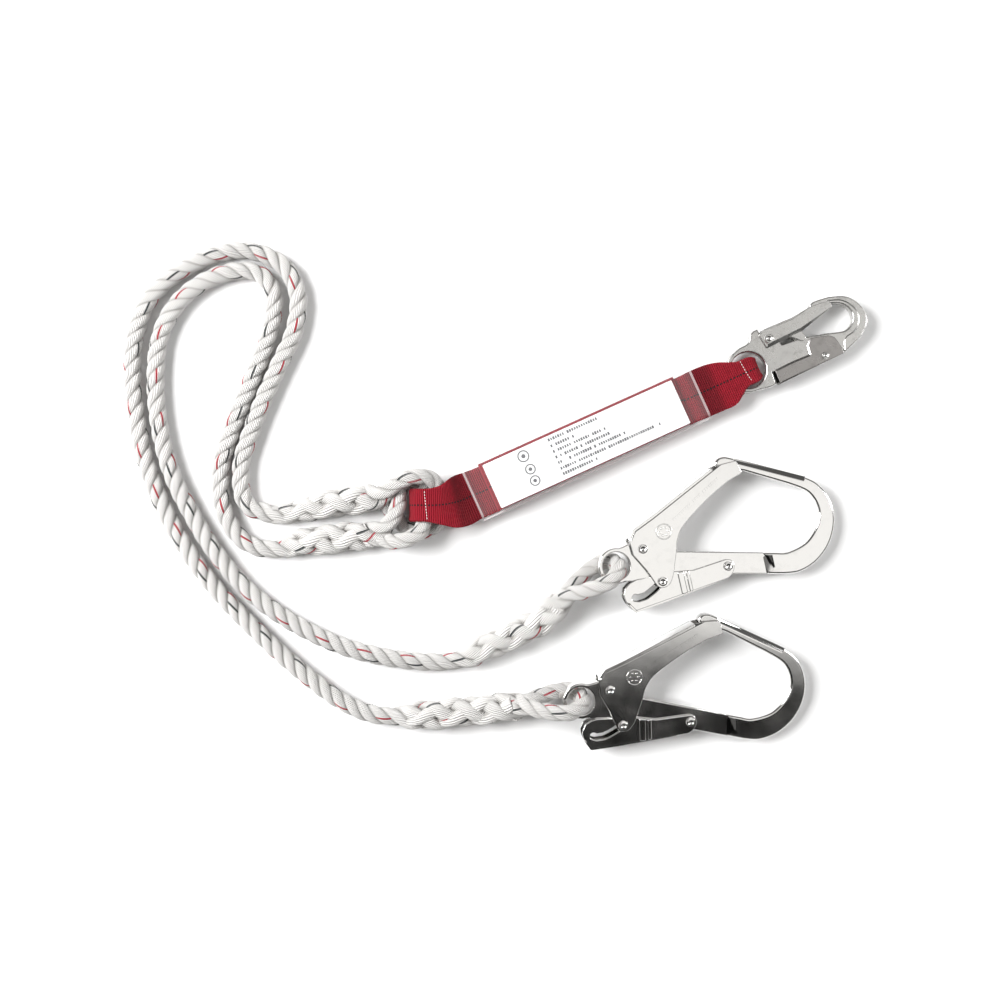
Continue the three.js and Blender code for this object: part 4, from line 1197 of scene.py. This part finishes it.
def metal(name, colour, roughness, spread_of, ripple, grain=0.0):
    """A metal whose roughness and colour vary slowly. spread_of is how much rougher it gets."""
    made, tree, shader = material(name, metallic=1.0)
    smudge = spread(tree, noise(tree, 45.0, 5.0), 0.3, 0.7, roughness, roughness + spread_of)
    tree.links.new(smudge, shader.inputs["Roughness"])
    dulling = MIRROR_DULLING if roughness < MIRROR_ROUGHNESS else SATIN_DULLING
    cloud = spread(tree, noise(tree, 140.0, 6.0), 0.52, 0.75)
    dull = blend_colour(tree, cloud, colour, [c * dulling for c in colour])
    tree.links.new(dull, shader.inputs["Base Color"])
    wave = bump(tree, shader, noise(tree, 38.0, 2.0), 0.0006, ripple)
    if grain:
        bump(tree, shader, noise(tree, 2600.0, 3.0), 0.00008, grain, under=wave)
    return made


plated = metal("plated_steel_polished", (0.80, 0.795, 0.785), 0.075, 0.05, 0.05)
satin = metal("satin_zinc_coat", (0.66, 0.655, 0.64), 0.20, 0.12, 0.25, grain=0.5)
# The snap hook lever's darker copy of the satin coat: a painted dark reflection.
satin_dark_reflection = metal("satin_zinc_painted_reflection", (0.40, 0.385, 0.375), 0.22, 0.12, 0.25, grain=0.5)
marks = metal("stamped_mark_steel", (0.30, 0.30, 0.30), 0.35, 0.1, 0.1)
spring_steel = metal("spring_wire", (0.50, 0.50, 0.52), 0.25, 0.12, 0.1)
print("metals:", ", ".join(m.name for m in (plated, satin, satin_dark_reflection, marks, spring_steel)))

# %% [markdown]
# ## Rows of small marks
# The label's wording and the gates' stamped lettering are stood in for by rows of little bars, which
# say nothing. One node tree makes any row: it puts a bar at each step of a line, drops a few for the
# gaps between words, and varies the rest in width and height.

# %% Rows of marks
def print_tree():
    """A row of raised bars along a line: mixed widths and heights, with gaps, from a fixed seed."""
    tree, given, result = new_tree("print rows", [
        ("Spacing", "NodeSocketFloat", 1.5 * MM), ("Height", "NodeSocketFloat", 1.7 * MM),
        ("Rise", "NodeSocketFloat", 0.06 * MM), ("Seed", "NodeSocketInt", 4),
        ("Ink", "NodeSocketMaterial", None)])
    link = tree.links.new
    curve = node(tree, "GeometryNodeMeshToCurve", Mesh=given.outputs["Geometry"]).outputs[0]
    points = node(tree, "GeometryNodeCurveToPoints", {"mode": "LENGTH"}, Curve=curve)
    link(given.outputs["Spacing"], points.inputs["Length"])

    def random_value(kind, low, high):
        made = node(tree, "FunctionNodeRandomValue", {"data_type": kind})
        link(given.outputs["Seed"], made.inputs["Seed"])
        if kind == "BOOLEAN":
            made.inputs["Probability"].default_value = high
            return next(o for o in made.outputs if o.type == "BOOLEAN")
        ends = [i for i in made.inputs if i.type == "VALUE" and i.name in ("Min", "Max")]
        ends[0].default_value, ends[1].default_value = low, high
        return next(o for o in made.outputs if o.type == "VALUE")

    size = tree.nodes.new("ShaderNodeCombineXYZ")
    for index, value in enumerate(("Spacing", "Height", "Rise")):
        link(given.outputs[value], size.inputs[index])
    bar = node(tree, "GeometryNodeMeshCube", Size=size.outputs[0]).outputs[0]
    stretch = tree.nodes.new("ShaderNodeCombineXYZ")
    link(random_value("FLOAT", 0.55, 0.86), stretch.inputs[0])
    link(random_value("FLOAT", 0.78, 1.0), stretch.inputs[1])
    stretch.inputs[2].default_value = 1
    copies = node(tree, "GeometryNodeInstanceOnPoints", Points=points.outputs[0], Instance=bar,
                  Scale=stretch.outputs[0], Selection=random_value("BOOLEAN", 0, 0.86))
    solid = node(tree, "GeometryNodeRealizeInstances", Geometry=copies.outputs[0])
    painted = node(tree, "GeometryNodeSetMaterial", Geometry=solid.outputs[0],
                   Material=given.outputs["Ink"])
    link(painted.outputs[0], result.inputs[0])
    return tree


def print_row(start, end, height, seed, paint, rise=0.06, spacing=1.5):
    """A print row between two points in mm, as a mesh. It is made along X and then turned."""
    start, end = Vector(start) * MM, Vector(end) * MM
    way = end - start
    line = edge_line("print row", [(0, 0, 0), (way.length / 2, 0, 0), (way.length, 0, 0)])
    mesh = run_tree(rows, line, {"Spacing": spacing * MM, "Height": height * MM, "Rise": rise * MM,
                                 "Seed": seed, "Ink": paint})
    turn = Matrix.Rotation(math.atan2(way.y, way.x), 4, "Z")
    return placed(mesh, Matrix.Translation(start) @ turn)


rows = print_tree()

# %% [markdown]
# ## Scaffold hooks
# A scaffold hook opens wide enough for a pole. Its body is a forged shank with an eye at one end and a
# bow at the other. The gate is a pressed channel hinged by the eye, and its end tucks under the bow's
# nose. The locking lever on the other side must be squeezed before the gate's pin can leave its slot.

# %% Scaffold hook outlines
S_PIVOT, S_LATCH, S_LEVER_PIVOT = (25.6, 9.8), (36.4, -22.2), (97.6, -22.6)
S_GATE_SWING, S_LEVER_SWING = 30, 6
EMBLEM, EMBLEM_RING, EMBLEM_DOTS = (47.5, 20.5), (7.25, 6.2), 3.6
shank_shape = [(5.36, 15.08)] + outline(
    (9, 15.4), [(16, 17), (25.6, 18.9), (33, 16), (37, 9)], (44, 3.2), (54.6, 0.8), (134, -18.35),
    (134, -38.44), (104, -31.3), (94, -29.8), (62, -25), (46, -19), (30, -17.5), (12, -17),
    (4.2, -15.44),
) + circle((0, 0), 16, 40, -74.8, -214.8)[1:-1]
bow_shape = outline(
    (131, -17.63), (144, -20.8),
    [(154.9, -22.6), (172.5, -17.6), (186, -4), (189.6, 10), (183.8, 25.2), (167.7, 36.6)],
    (131, 56.6), (114, 62.8), (107, 66), [(106.6, 69.5), (110.5, 73), (117, 73.2), (125, 69.7)],
    (184.5, 39.6),
    [(193.5, 32.4), (200.4, 21.5), (203.4, 9), (202.4, -4.5), (197, -18), (188, -29.5), (175, -38.5),
     (160, -42.7), (146, -41.3)],
    (131, -37.73), (131, -36.4), (131, -22.3))
s_gate_shape = soft_corners(outline(
    (16, 6.5), (15.2, 20.4), (21, 28), (39.9, 36), (102.5, 65.7), (111.2, 67.3), (125, 67.6),
    (128, 55.8), (113.4, 51.2),
    [(97, 42.7), (79, 31.5), (64.4, 20.5), (57.6, 10.5), (55.4, 3)],
    (50.2, -11.5), [(47.3, -19), (42.5, -26), (36.4, -28), (31.9, -26), (29, -20)], (24.8, -9.5)), 1.6)
s_gate_fold = [(15.6, 20.9), (21, 28), (39.9, 36), (102.5, 65.7)]
s_gate_spine = s_gate_fold + [(103.4, 63.9), (40.8, 34.2), (22.2, 26.3), (17.4, 20.3)]
s_lever_shape = soft_corners(outline(
    (2.8, -21), [(0.4, -28), (2.2, -35.5), (7.7, -44.1)], (31.3, -41.6), (95, -33.2),
    [(100.2, -29.8), (103.4, -23.5), (101.5, -17.8), (97, -16.3)],
    (66.9, -19), (49, -16.2), (14, -15.8), (8, -17.4)), 1.4)
s_lever_fold = [(2.2, -35.5), (7.7, -44.1), (31.3, -41.6), (86, -34.4)]
s_lever_spine = s_lever_fold + [(85.7, -32.6), (31.1, -39.7), (8.7, -42), (4, -34.6)]


def latch_slot(half_width=3.1):
    """The slot in the lever that the gate's latch pin runs in, as a closed outline."""
    pins = []
    for t in (0, 0.25, 0.5, 0.75, 1):
        swung = turned(S_LATCH, S_PIVOT, -S_GATE_SWING * t)
        pins.append(turned(swung, S_LEVER_PIVOT, S_LEVER_SWING * t))
    path = np.array(pins + [(13, -32.2), (10.2, -31.2)])
    ahead = np.gradient(path, axis=0)
    ahead /= np.linalg.norm(ahead, axis=1)[:, None]
    left = np.stack([-ahead[:, 1], ahead[:, 0]], axis=1) * half_width
    ends = []
    for at, way in ((path[-1], ahead[-1]), (path[0], -ahead[0])):
        heading = math.degrees(math.atan2(way[1], way[0]))
        ends.append(circle(at, half_width, 12, heading + 90, -180))
    there, back = [tuple(p) for p in path + left], [tuple(p) for p in (path - left)[::-1]]
    return there + ends[0] + back + ends[1]


bow_edges = edges_along(
    2.0,
    ([(131, -22.3), (131, -36.4)], 9.0, 1.0, 1),
    ([(125, 69.7), (184.5, 39.6)], 4.6, 1.7, 1))


def rib(x, width, y_low, y_high, top):
    """A low pressed rib across a cheek."""
    shape = soft_corners([(x, y_low), (x + width, y_low), (x + width, y_high), (x, y_high)], 1.1)
    return slab(shape, top - 0.3, top + 0.8, 0.1, 0.75)


def scaffold_hook(hook):
    """All the pieces of one scaffold hook, on its own bodies."""
    place = hook_place(hook, S_PIVOT)
    body = joined(slab(shank_shape, -5, 5, 1.0, 1.0, [circle((0, 0), 12.2)]),
                  slab(bow_shape, -6, 6, bow_edges, bow_edges))
    piece(f"{hook}_forged_body", placed(body, place), hook, "plated_steel", f"{hook}_body",
          material=plated, smooth=38)
    gate_parts = both_sides(s_gate_shape, 8, 10, edges_along(0.5, (s_gate_fold, 2.6, 1.4, 1)))
    gate_parts.append(slab(soft_corners(s_gate_spine, 0.8), -9.9, 9.9, 1.7, 1.7))
    rim, hole = (circle(EMBLEM, radius, 48) for radius in EMBLEM_RING)
    gate_parts.append(slab(rim, 9.9, 10.35, 0.1, 0.25, [hole]))
    for k in range(6):
        spot = turned((EMBLEM[0] + EMBLEM_DOTS, EMBLEM[1]), EMBLEM, 60 * k)
        gate_parts.append(slab(circle(spot, 1.0, 16), 9.9, 10.3, 0.1, 0.25))
    gate_parts.append(
        print_row((59, 29, 10.1), (105, 56, 10.1), 2.6, 21, marks, rise=0.5, spacing=2.4))
    piece(f"{hook}_pressed_gate", placed(joined(*gate_parts), place), f"{hook}_gate_assembly",
          "plated_steel", f"{hook}_gate", material=plated, smooth=38)
    lever_edges = edges_along(0.5, (s_lever_fold, 1.9, 1.1, 1))
    lever_parts = both_sides(s_lever_shape, 5.5, 7.5, lever_edges, [latch_slot()])
    lever_parts.append(slab(soft_corners(s_lever_spine, 0.8), -7.4, 7.4, 1.7, 1.7))
    lever_parts += [rib(51.5, 5.6, -37.6, -17.6, 7.5), rib(59, 3.4, -36.8, -18.4, 7.5)]
    piece(f"{hook}_pressed_lever", placed(joined(*lever_parts), place), f"{hook}_lever_assembly",
          "plated_steel", f"{hook}_lock_lever", material=plated, smooth=38)
    for node_name, at, radius, seat, head, body_name in (
        ("gate_rivet", S_PIVOT, 2.7, 10.3, 4.2, hook),
        ("latch_pin", S_LATCH, 2.2, 10.3, 4.2, f"{hook}_gate_assembly"),
        ("lever_rivet", S_LEVER_PIVOT, 2.7, 7.8, 4.2, hook),
    ):
        piece(f"{hook}_{node_name}_dished", placed(rivet_mesh(at, radius, seat, head, 1.3), place),
              body_name, "plated_steel", f"{hook}_{node_name}", material=plated, smooth=30)
    piece(f"{hook}_gate_coil", placed(coil(S_PIVOT, 4.8, 5.7, 1.4, 1.1), place), hook, "spring_steel",
          f"{hook}_gate_spring", material=spring_steel)
    piece(f"{hook}_lever_leaf", placed(leaf((50, -36), (82, -31.8), 2.4, 0.8, 3.5), place),
          f"{hook}_lever_assembly", "spring_steel", f"{hook}_lever_spring", material=spring_steel)


for hook in ("upper_hook", "lower_hook"):
    scaffold_hook(hook)

# %% [markdown]
# ## Snap hook
# The small hook at the other end of the pack is cast, with a satin zinc coat. It works the same way:
# squeeze the lever, then press the gate in. Its cheeks have crisp cut edges with a narrow bevel.

# %% Snap hook
N_PIVOT, N_LEVER_PIVOT = (27.7, 18.1), (67.8, -16.1)
snap_body_shape = outline(
    (-4.9, 19.7), [(0.4, 21.4), (7.5, 21.9), (11.4, 24.1), (14.4, 28.6), (18.2, 30.4)],
    (22.6, 30.4), (22.6, 24.6), [(27.7, 25.1), (33.6, 22), (35, 16.5)],
    (37, 8.6), (58.6, 7.2), (61.5, 5.6), (76.5, 2),
    [(91.4, -2.4), (98.8, -1.1), (104.1, 3.6), (105.6, 11), (101.1, 19.6), (92.1, 24.5)],
    (80, 26), (74.5, 27.6), [(73.4, 30), (77.1, 32.4), (84, 32.2)], (92.7, 31),
    [(106.2, 25.6), (113.7, 17.1), (117.3, 5.3), (114.8, -4.8), (105.8, -13.3)],
    (85.8, -20.8), (84, -17.2), (62, -15.2), (19, -10.5), (18.4, -21.6),
    [(12.5, -22.2), (3.2, -20.6), (-4.2, -19.9)],
) + circle((0, 0), 20.3, 44, -102, -154)[1:-1]
snap_contour = [(x, y, 5.4) for x, y in (
    (90, 28.2), (101.5, 23.4), (107.8, 16), (110.4, 7.5), (108, -0.6), (101, -6.6), (92.5, -8.6),
    (89, -12), (86.4, -18.2))]
snap_gate_shape = soft_corners(outline(
    (22.6, 10.9), (58.4, 12.4), (91.3, 21.6), (91.3, 27.7), (75.9, 29.4), (70.8, 29.1), (54, 27),
    (39.5, 27.4), (26.8, 27.6), (21, 24.5)), 1.2)
snap_tongue_shape = outline(
    (46, 12.6), (53.2, 5.2), [(55.6, 3.9), (58.2, 5), (58.6, 7.8)], (57.6, 12.8))
snap_gate_fold = [(27.6, 27.6), (39.5, 27.4), (54, 27), (70.2, 29)]
snap_gate_wall = [(22.6, 10.9), (58.4, 12.4)]
snap_gate_spine = snap_gate_fold + [(70.4, 27.2), (54, 25.2), (39.5, 25.7), (28, 25.8)]
snap_lever_shape = soft_corners(outline(
    (21.5, -9.7), (21, -23.1), (84.4, -20.8), (84.2, -14.9), [(83.4, -9), (81.6, -3.8), (77.4, -0.6)],
    (68, 2.2), (61.4, 3.4), (60, 2.4), (56.5, -1), (55.4, -9.4), (38.6, -8.9)), 1.2)
snap_lever_fold = [(21, -23.1), (82, -20.9)]
snap_lever_cut = [(61.4, 3.4), (60, 2.4), (56.5, -1), (55.4, -9.4), (38.6, -8.9), (21.5, -9.7)]
snap_lever_spine = snap_lever_fold + [(82, -19.2), (21.1, -21.4)]


def snap_hook(hook="snap_hook"):
    """All the pieces of the snap hook. A thin raised line runs round its bow on each side."""
    place = hook_place(hook, N_PIVOT)
    body_parts = [slab(snap_body_shape, -5.5, 5.5, 1.4, 1.4, [circle((0, 0), 16.2)])]
    line, _ = smooth_line(snap_contour, 1.5)
    for side in (1, -1):
        body_parts.append(wire((line * (1, 1, side)) * MM, 0.55 * MM, 8))
    piece("snap_hook_cast_body", placed(joined(*body_parts), place), hook, "satin_zinc",
          "snap_hook_body", material=satin, smooth=38)
    gate = both_sides(snap_gate_shape, 6, 7.6, edges_along(
        0.6, (snap_gate_fold, 1.6, 0.9, 1), (snap_gate_wall, 3.4, 1.45, 1)))
    gate += both_sides(snap_tongue_shape, 6, 7.55, 0.4)
    gate.append(print_row((38, 19.5, 7.7), (58, 21, 7.7), 2.4, 31, marks, rise=0.4, spacing=2.2))
    gate.append(slab(snap_gate_spine, -7.5, 7.5, 1.3, 1.3))
    piece("snap_hook_pressed_gate", placed(joined(*gate), place), "snap_hook_gate_assembly",
          "satin_zinc", "snap_hook_gate", material=satin, smooth=38)
    lever = both_sides(snap_lever_shape, 6, 7.6, edges_along(
        0.6, (snap_lever_fold, 1.5, 0.9, 1), (snap_lever_cut, 1.7, 1.0, 1)))
    lever.append(slab(snap_lever_spine, -7.5, 7.5, 0.8, 0.8))
    piece("snap_hook_pressed_lever", placed(joined(*lever), place), "snap_hook_lever_assembly",
          "satin_zinc", "snap_hook_lock_lever", material=satin_dark_reflection, smooth=38)
    for node_name, at, radius, head, rise in (
        ("gate_rivet", N_PIVOT, 2.5, 4.4, 1.3),
        ("lever_rivet", N_LEVER_PIVOT, 2, 3.2, 1.2),
    ):
        piece(f"snap_hook_{node_name}_dished", placed(rivet_mesh(at, radius, 7.9, head, rise), place),
              hook, "satin_zinc", f"snap_hook_{node_name}", material=satin, smooth=30)
    piece("snap_hook_gate_coil", placed(coil(N_PIVOT, 4.0, 4.4, 1.2, 0.9), place), hook, "spring_steel",
          "snap_hook_gate_spring", material=spring_steel)
    piece("snap_hook_lever_leaf", placed(leaf((30, -19.9), (56, -19), 1.6, 0.8, 3.5), place),
          "snap_hook_lever_assembly", "spring_steel", "snap_hook_lever_spring", material=spring_steel)


snap_hook()

# %% [markdown]
# ## The clear sleeve
# The pack is closed in a soft clear vinyl tube, welded from a flat sheet, so it has a narrow flange
# down one side and its walls ripple a little. At each end the film is doubled by a narrow hem.

# %% Sleeve
SLEEVE_HALF, SLEEVE_LOW, SLEEVE_HIGH = 111.5, -22.6, 24.75
SLEEVE_TOP, SLEEVE_CORNER, SLEEVE_WALL = 24, 4, 0.8
FLANGE = [(-111.4, -24.7), (111.4, -24.7), (111.4, -22.2), (-111.4, -22.2)]
HEM_START = 109.4  # from here out the film is welded to itself and turns milky


def tube_section(x):
    """The tube's rounded cross-section at a place along the pack, with the ripple of its walls."""
    left, right = SLEEVE_LOW + SLEEVE_CORNER, SLEEVE_HIGH - SLEEVE_CORNER
    bottom, top = SLEEVE_CORNER, SLEEVE_TOP - SLEEVE_CORNER
    section = []
    for cy, cz, start in ((right, top, 0), (left, top, 90), (left, bottom, 180), (right, bottom, 270)):
        for k in range(6):
            a = math.radians(start + 18 * k)
            section.append([x, cy + SLEEVE_CORNER * math.cos(a), cz + SLEEVE_CORNER * math.sin(a)])
    dense = []
    for p, q in zip(section, section[1:] + section[:1]):
        count = max(1, round(math.dist(p, q) / 3))
        dense += [[a + (b - a) * k / count for a, b in zip(p, q)] for k in range(count)]
    ripple = 0.16 * math.sin(x * 0.21) + 0.10 * math.sin(x * 0.57 + 1.2)
    for p in dense:
        if p[2] > 12:
            p[2] -= 0.15 + ripple * math.sin(p[1] * 0.3 + x * 0.05)
        elif p[2] < 1.2:
            p[2] = max(p[2], 0.02)
    return dense


def inset_ring(ring):
    """The ring moved inwards in the YZ plane by the wall's thickness."""
    ring = np.array(ring)
    moved = inset_loop(ring[:, 1:], np.full(len(ring), SLEEVE_WALL))
    return np.column_stack([ring[:, 0], moved])


def sleeve_mesh():
    """The tube with its outer and its inner wall, open at both ends."""
    stations = np.arange(-SLEEVE_HALF, SLEEVE_HALF + 0.01, SLEEVE_HALF / 56)
    outer = [tube_section(x) for x in stations]
    inner = [inset_ring(ring) for ring in outer]
    return loft(np.array(outer + inner[::-1]) * MM, caps=False, loop=True)


sleeve = sleeve_mesh()
flange = slab(soft_corners(FLANGE, 0.8), 11.2, 12.6, 0.3, 0.3)
vinyl, tree, shader = material(
    "clear_vinyl_film", roughness=0.12, colour=(0.86, 0.87, 0.87), Alpha=0.032, IOR=1.5)
smudges = spread(tree, noise(tree, 70.0, 4.0), 0.35, 0.75, 0.10, 0.30)
tree.links.new(smudges, shader.inputs["Roughness"])
bump(tree, shader, noise(tree, 55.0, 3.0), 0.0012, 0.35)
weld, tree, shader = material("vinyl_weld", roughness=0.35, colour=(0.90, 0.86, 0.86), Alpha=0.62)
bump(tree, shader, noise(tree, 500.0, 3.0), 0.0002, 0.4)
hem, tree, shader = material("vinyl_end_hem", roughness=0.2, colour=(0.90, 0.86, 0.86), Alpha=0.2)
bump(tree, shader, noise(tree, 500.0, 3.0), 0.0002, 0.4)
for made in (vinyl, hem):
    sleeve.materials.append(made)
for face in sleeve.polygons:
    face.material_index = int(abs(face.center.x) > HEM_START * MM)
flange.materials.append(weld)
piece("clear_sleeve_film", placed(joined(sleeve, flange), pack_turn), "pack", "clear_vinyl",
      "clear_sleeve")

# %% [markdown]
# ## The card
# A white card lies under the sleeve's top wall. Its wording is stood in for by rows of plain bars, and
# its signs by rings with dots, so that nothing on it can be read.

# %% Card and its print
CARD_TOP, CARD_THICK = 22.3, 0.4
CARD = [(-92.4, -20.6), (92.4, -20.6), (92.4, 21.3), (-92.4, 21.3)]
ROW_START, ROW_HEIGHT, ROW_SPACING = -29, 2.9, 2.2
ROWS = ((17.6, 17), (11.8, -8), (6.4, 20.5), (1, 22), (-4.4, 35), (-10, 67), (-15.2, 3))  # y, and end
SIGNS = ((-55.6, 13.7, 5.4), (-54.6, 0.6, 4.8), (-54.9, -10.4, 4.8))  # x, y and radius

card_mesh = slab(soft_corners(CARD, 1.0), CARD_TOP - CARD_THICK, CARD_TOP, 0.05, 0.05)
card, tree, shader = material("label_card_stock", roughness=0.55)
mottle(tree, shader, 50.0, (0.84, 0.84, 0.84), (0.79, 0.79, 0.79))
bump(tree, shader, noise(tree, 900.0, 3.0), 0.0001, 0.3)
piece("label_card_printed", placed(card_mesh, pack_turn), "pack", "label_card", "label_card",
      material=card)

ink, tree, shader = material("label_ink", roughness=0.6)
mottle(tree, shader, 400.0, (0.05, 0.05, 0.055), (0.14, 0.14, 0.15))
printed = []
for seed, (y, end) in enumerate(ROWS, 4):
    start, end = (ROW_START, y, CARD_TOP + 0.05), (end, y, CARD_TOP + 0.05)
    printed.append(print_row(start, end, ROW_HEIGHT, seed, ink, spacing=ROW_SPACING))
for x, y, r in SIGNS:
    low, high = CARD_TOP + 0.01, CARD_TOP + 0.1
    sign = slab(circle((x, y), r, 40), low, high, 0.02, 0.02, [circle((x, y), r - 1.1, 40)])
    dot = slab(circle((x, y), r * 0.35, 24), low, high, 0.02, 0.02)
    for mesh in (sign, dot):
        mesh.materials.append(ink)
        printed.append(mesh)
piece("label_card_print", placed(joined(*printed), pack_turn), "pack", "label_card")

# %% [markdown]
# ## Floor and light
# The floor is one pale sheet. Polished metal shows only what is round it, so the studio is built for its
# reflections: a bright ceiling that ends in a black flag. The upper hook tilts towards the bright part
# and the lower one towards the black, and their rounded edges catch the bright walls.

# %% Floor, lights and world
FLOOR_HALF, FLOOR_Z = 4, -0.0006

floor_mesh = bpy.data.meshes.new("floor")
corners = [(x * FLOOR_HALF, y * FLOOR_HALF, FLOOR_Z) for x, y in ((-1, -1), (1, -1), (1, 1), (-1, 1))]
floor_mesh.from_pydata(corners, [], [(0, 1, 2, 3)])
floor = bpy.data.objects.new("floor", floor_mesh)
scene.collection.objects.link(floor)
paper, tree, shader = material("pale_floor", roughness=0.8)
mottle(tree, shader, 6.0, (0.93, 0.93, 0.93), (0.90, 0.90, 0.90), detail=3.0)
floor.data.materials.append(paper)
floor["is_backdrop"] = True


def soft_light(name, place, aim, size, power):
    """A rectangular softbox that looks at a point."""
    data = bpy.data.lights.new(name, "AREA")
    data.shape, data.size, data.size_y, data.energy = "RECTANGLE", size[0], size[1], power
    made = bpy.data.objects.new(name, data)
    made.location = place
    made.rotation_euler = (Vector(aim) - Vector(place)).to_track_quat("-Z", "Y").to_euler()
    scene.collection.objects.link(made)
    made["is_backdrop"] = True


soft_light("key softbox", (-1.6, 0.4, 1.5), (-0.1, 0.0, 0), (1.3, 1.3), 95)
soft_light("right strip", (1.7, 0.3, 0.8), (0.0, -0.1, 0), (0.3, 1.4), 20)
world = bpy.data.worlds.new("studio")
scene.world = world
world.use_nodes = True
tree = world.node_tree
parts = tree.nodes.new("ShaderNodeSeparateXYZ")
tree.links.new(tree.nodes.new("ShaderNodeTexCoord").outputs["Generated"], parts.inputs[0])
overhead = spread(tree, parts.outputs[2], 0.80, 0.86, smooth=True)
to_flag = spread(tree, parts.outputs[1], -0.29, -0.235, 0.01, 1.15, smooth=True)
to_back = spread(tree, parts.outputs[1], 0.02, 0.07, 1.0, 0.75, smooth=True)
to_left = spread(tree, parts.outputs[0], 0.03, 0.16, 0.18, 1.0, smooth=True)
ceiling = maths(tree, "MULTIPLY", to_flag, maths(tree, "MULTIPLY", to_back, to_left))
sides = spread(tree, parts.outputs[2], 0.03, 0.34, 1.15, 0.10, smooth=True)
sky = tree.nodes.new("ShaderNodeMix")
tree.links.new(overhead, sky.inputs[0])
tree.links.new(sides, sky.inputs[2])
tree.links.new(ceiling, sky.inputs[3])
tree.links.new(sky.outputs[0], tree.nodes["Background"].inputs["Strength"])
tree.nodes["Background"].inputs["Color"].default_value = (1.0, 0.985, 0.96, 1)
scene.view_settings.view_transform = "Standard"
print("floor, two softboxes and the studio round them")

# %% [markdown]
# ## Size and finish
# The bounds of what is drawn are printed.

# %% Size and finish
low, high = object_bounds()
print("bounds", np.round(low, 4), np.round(high, 4))
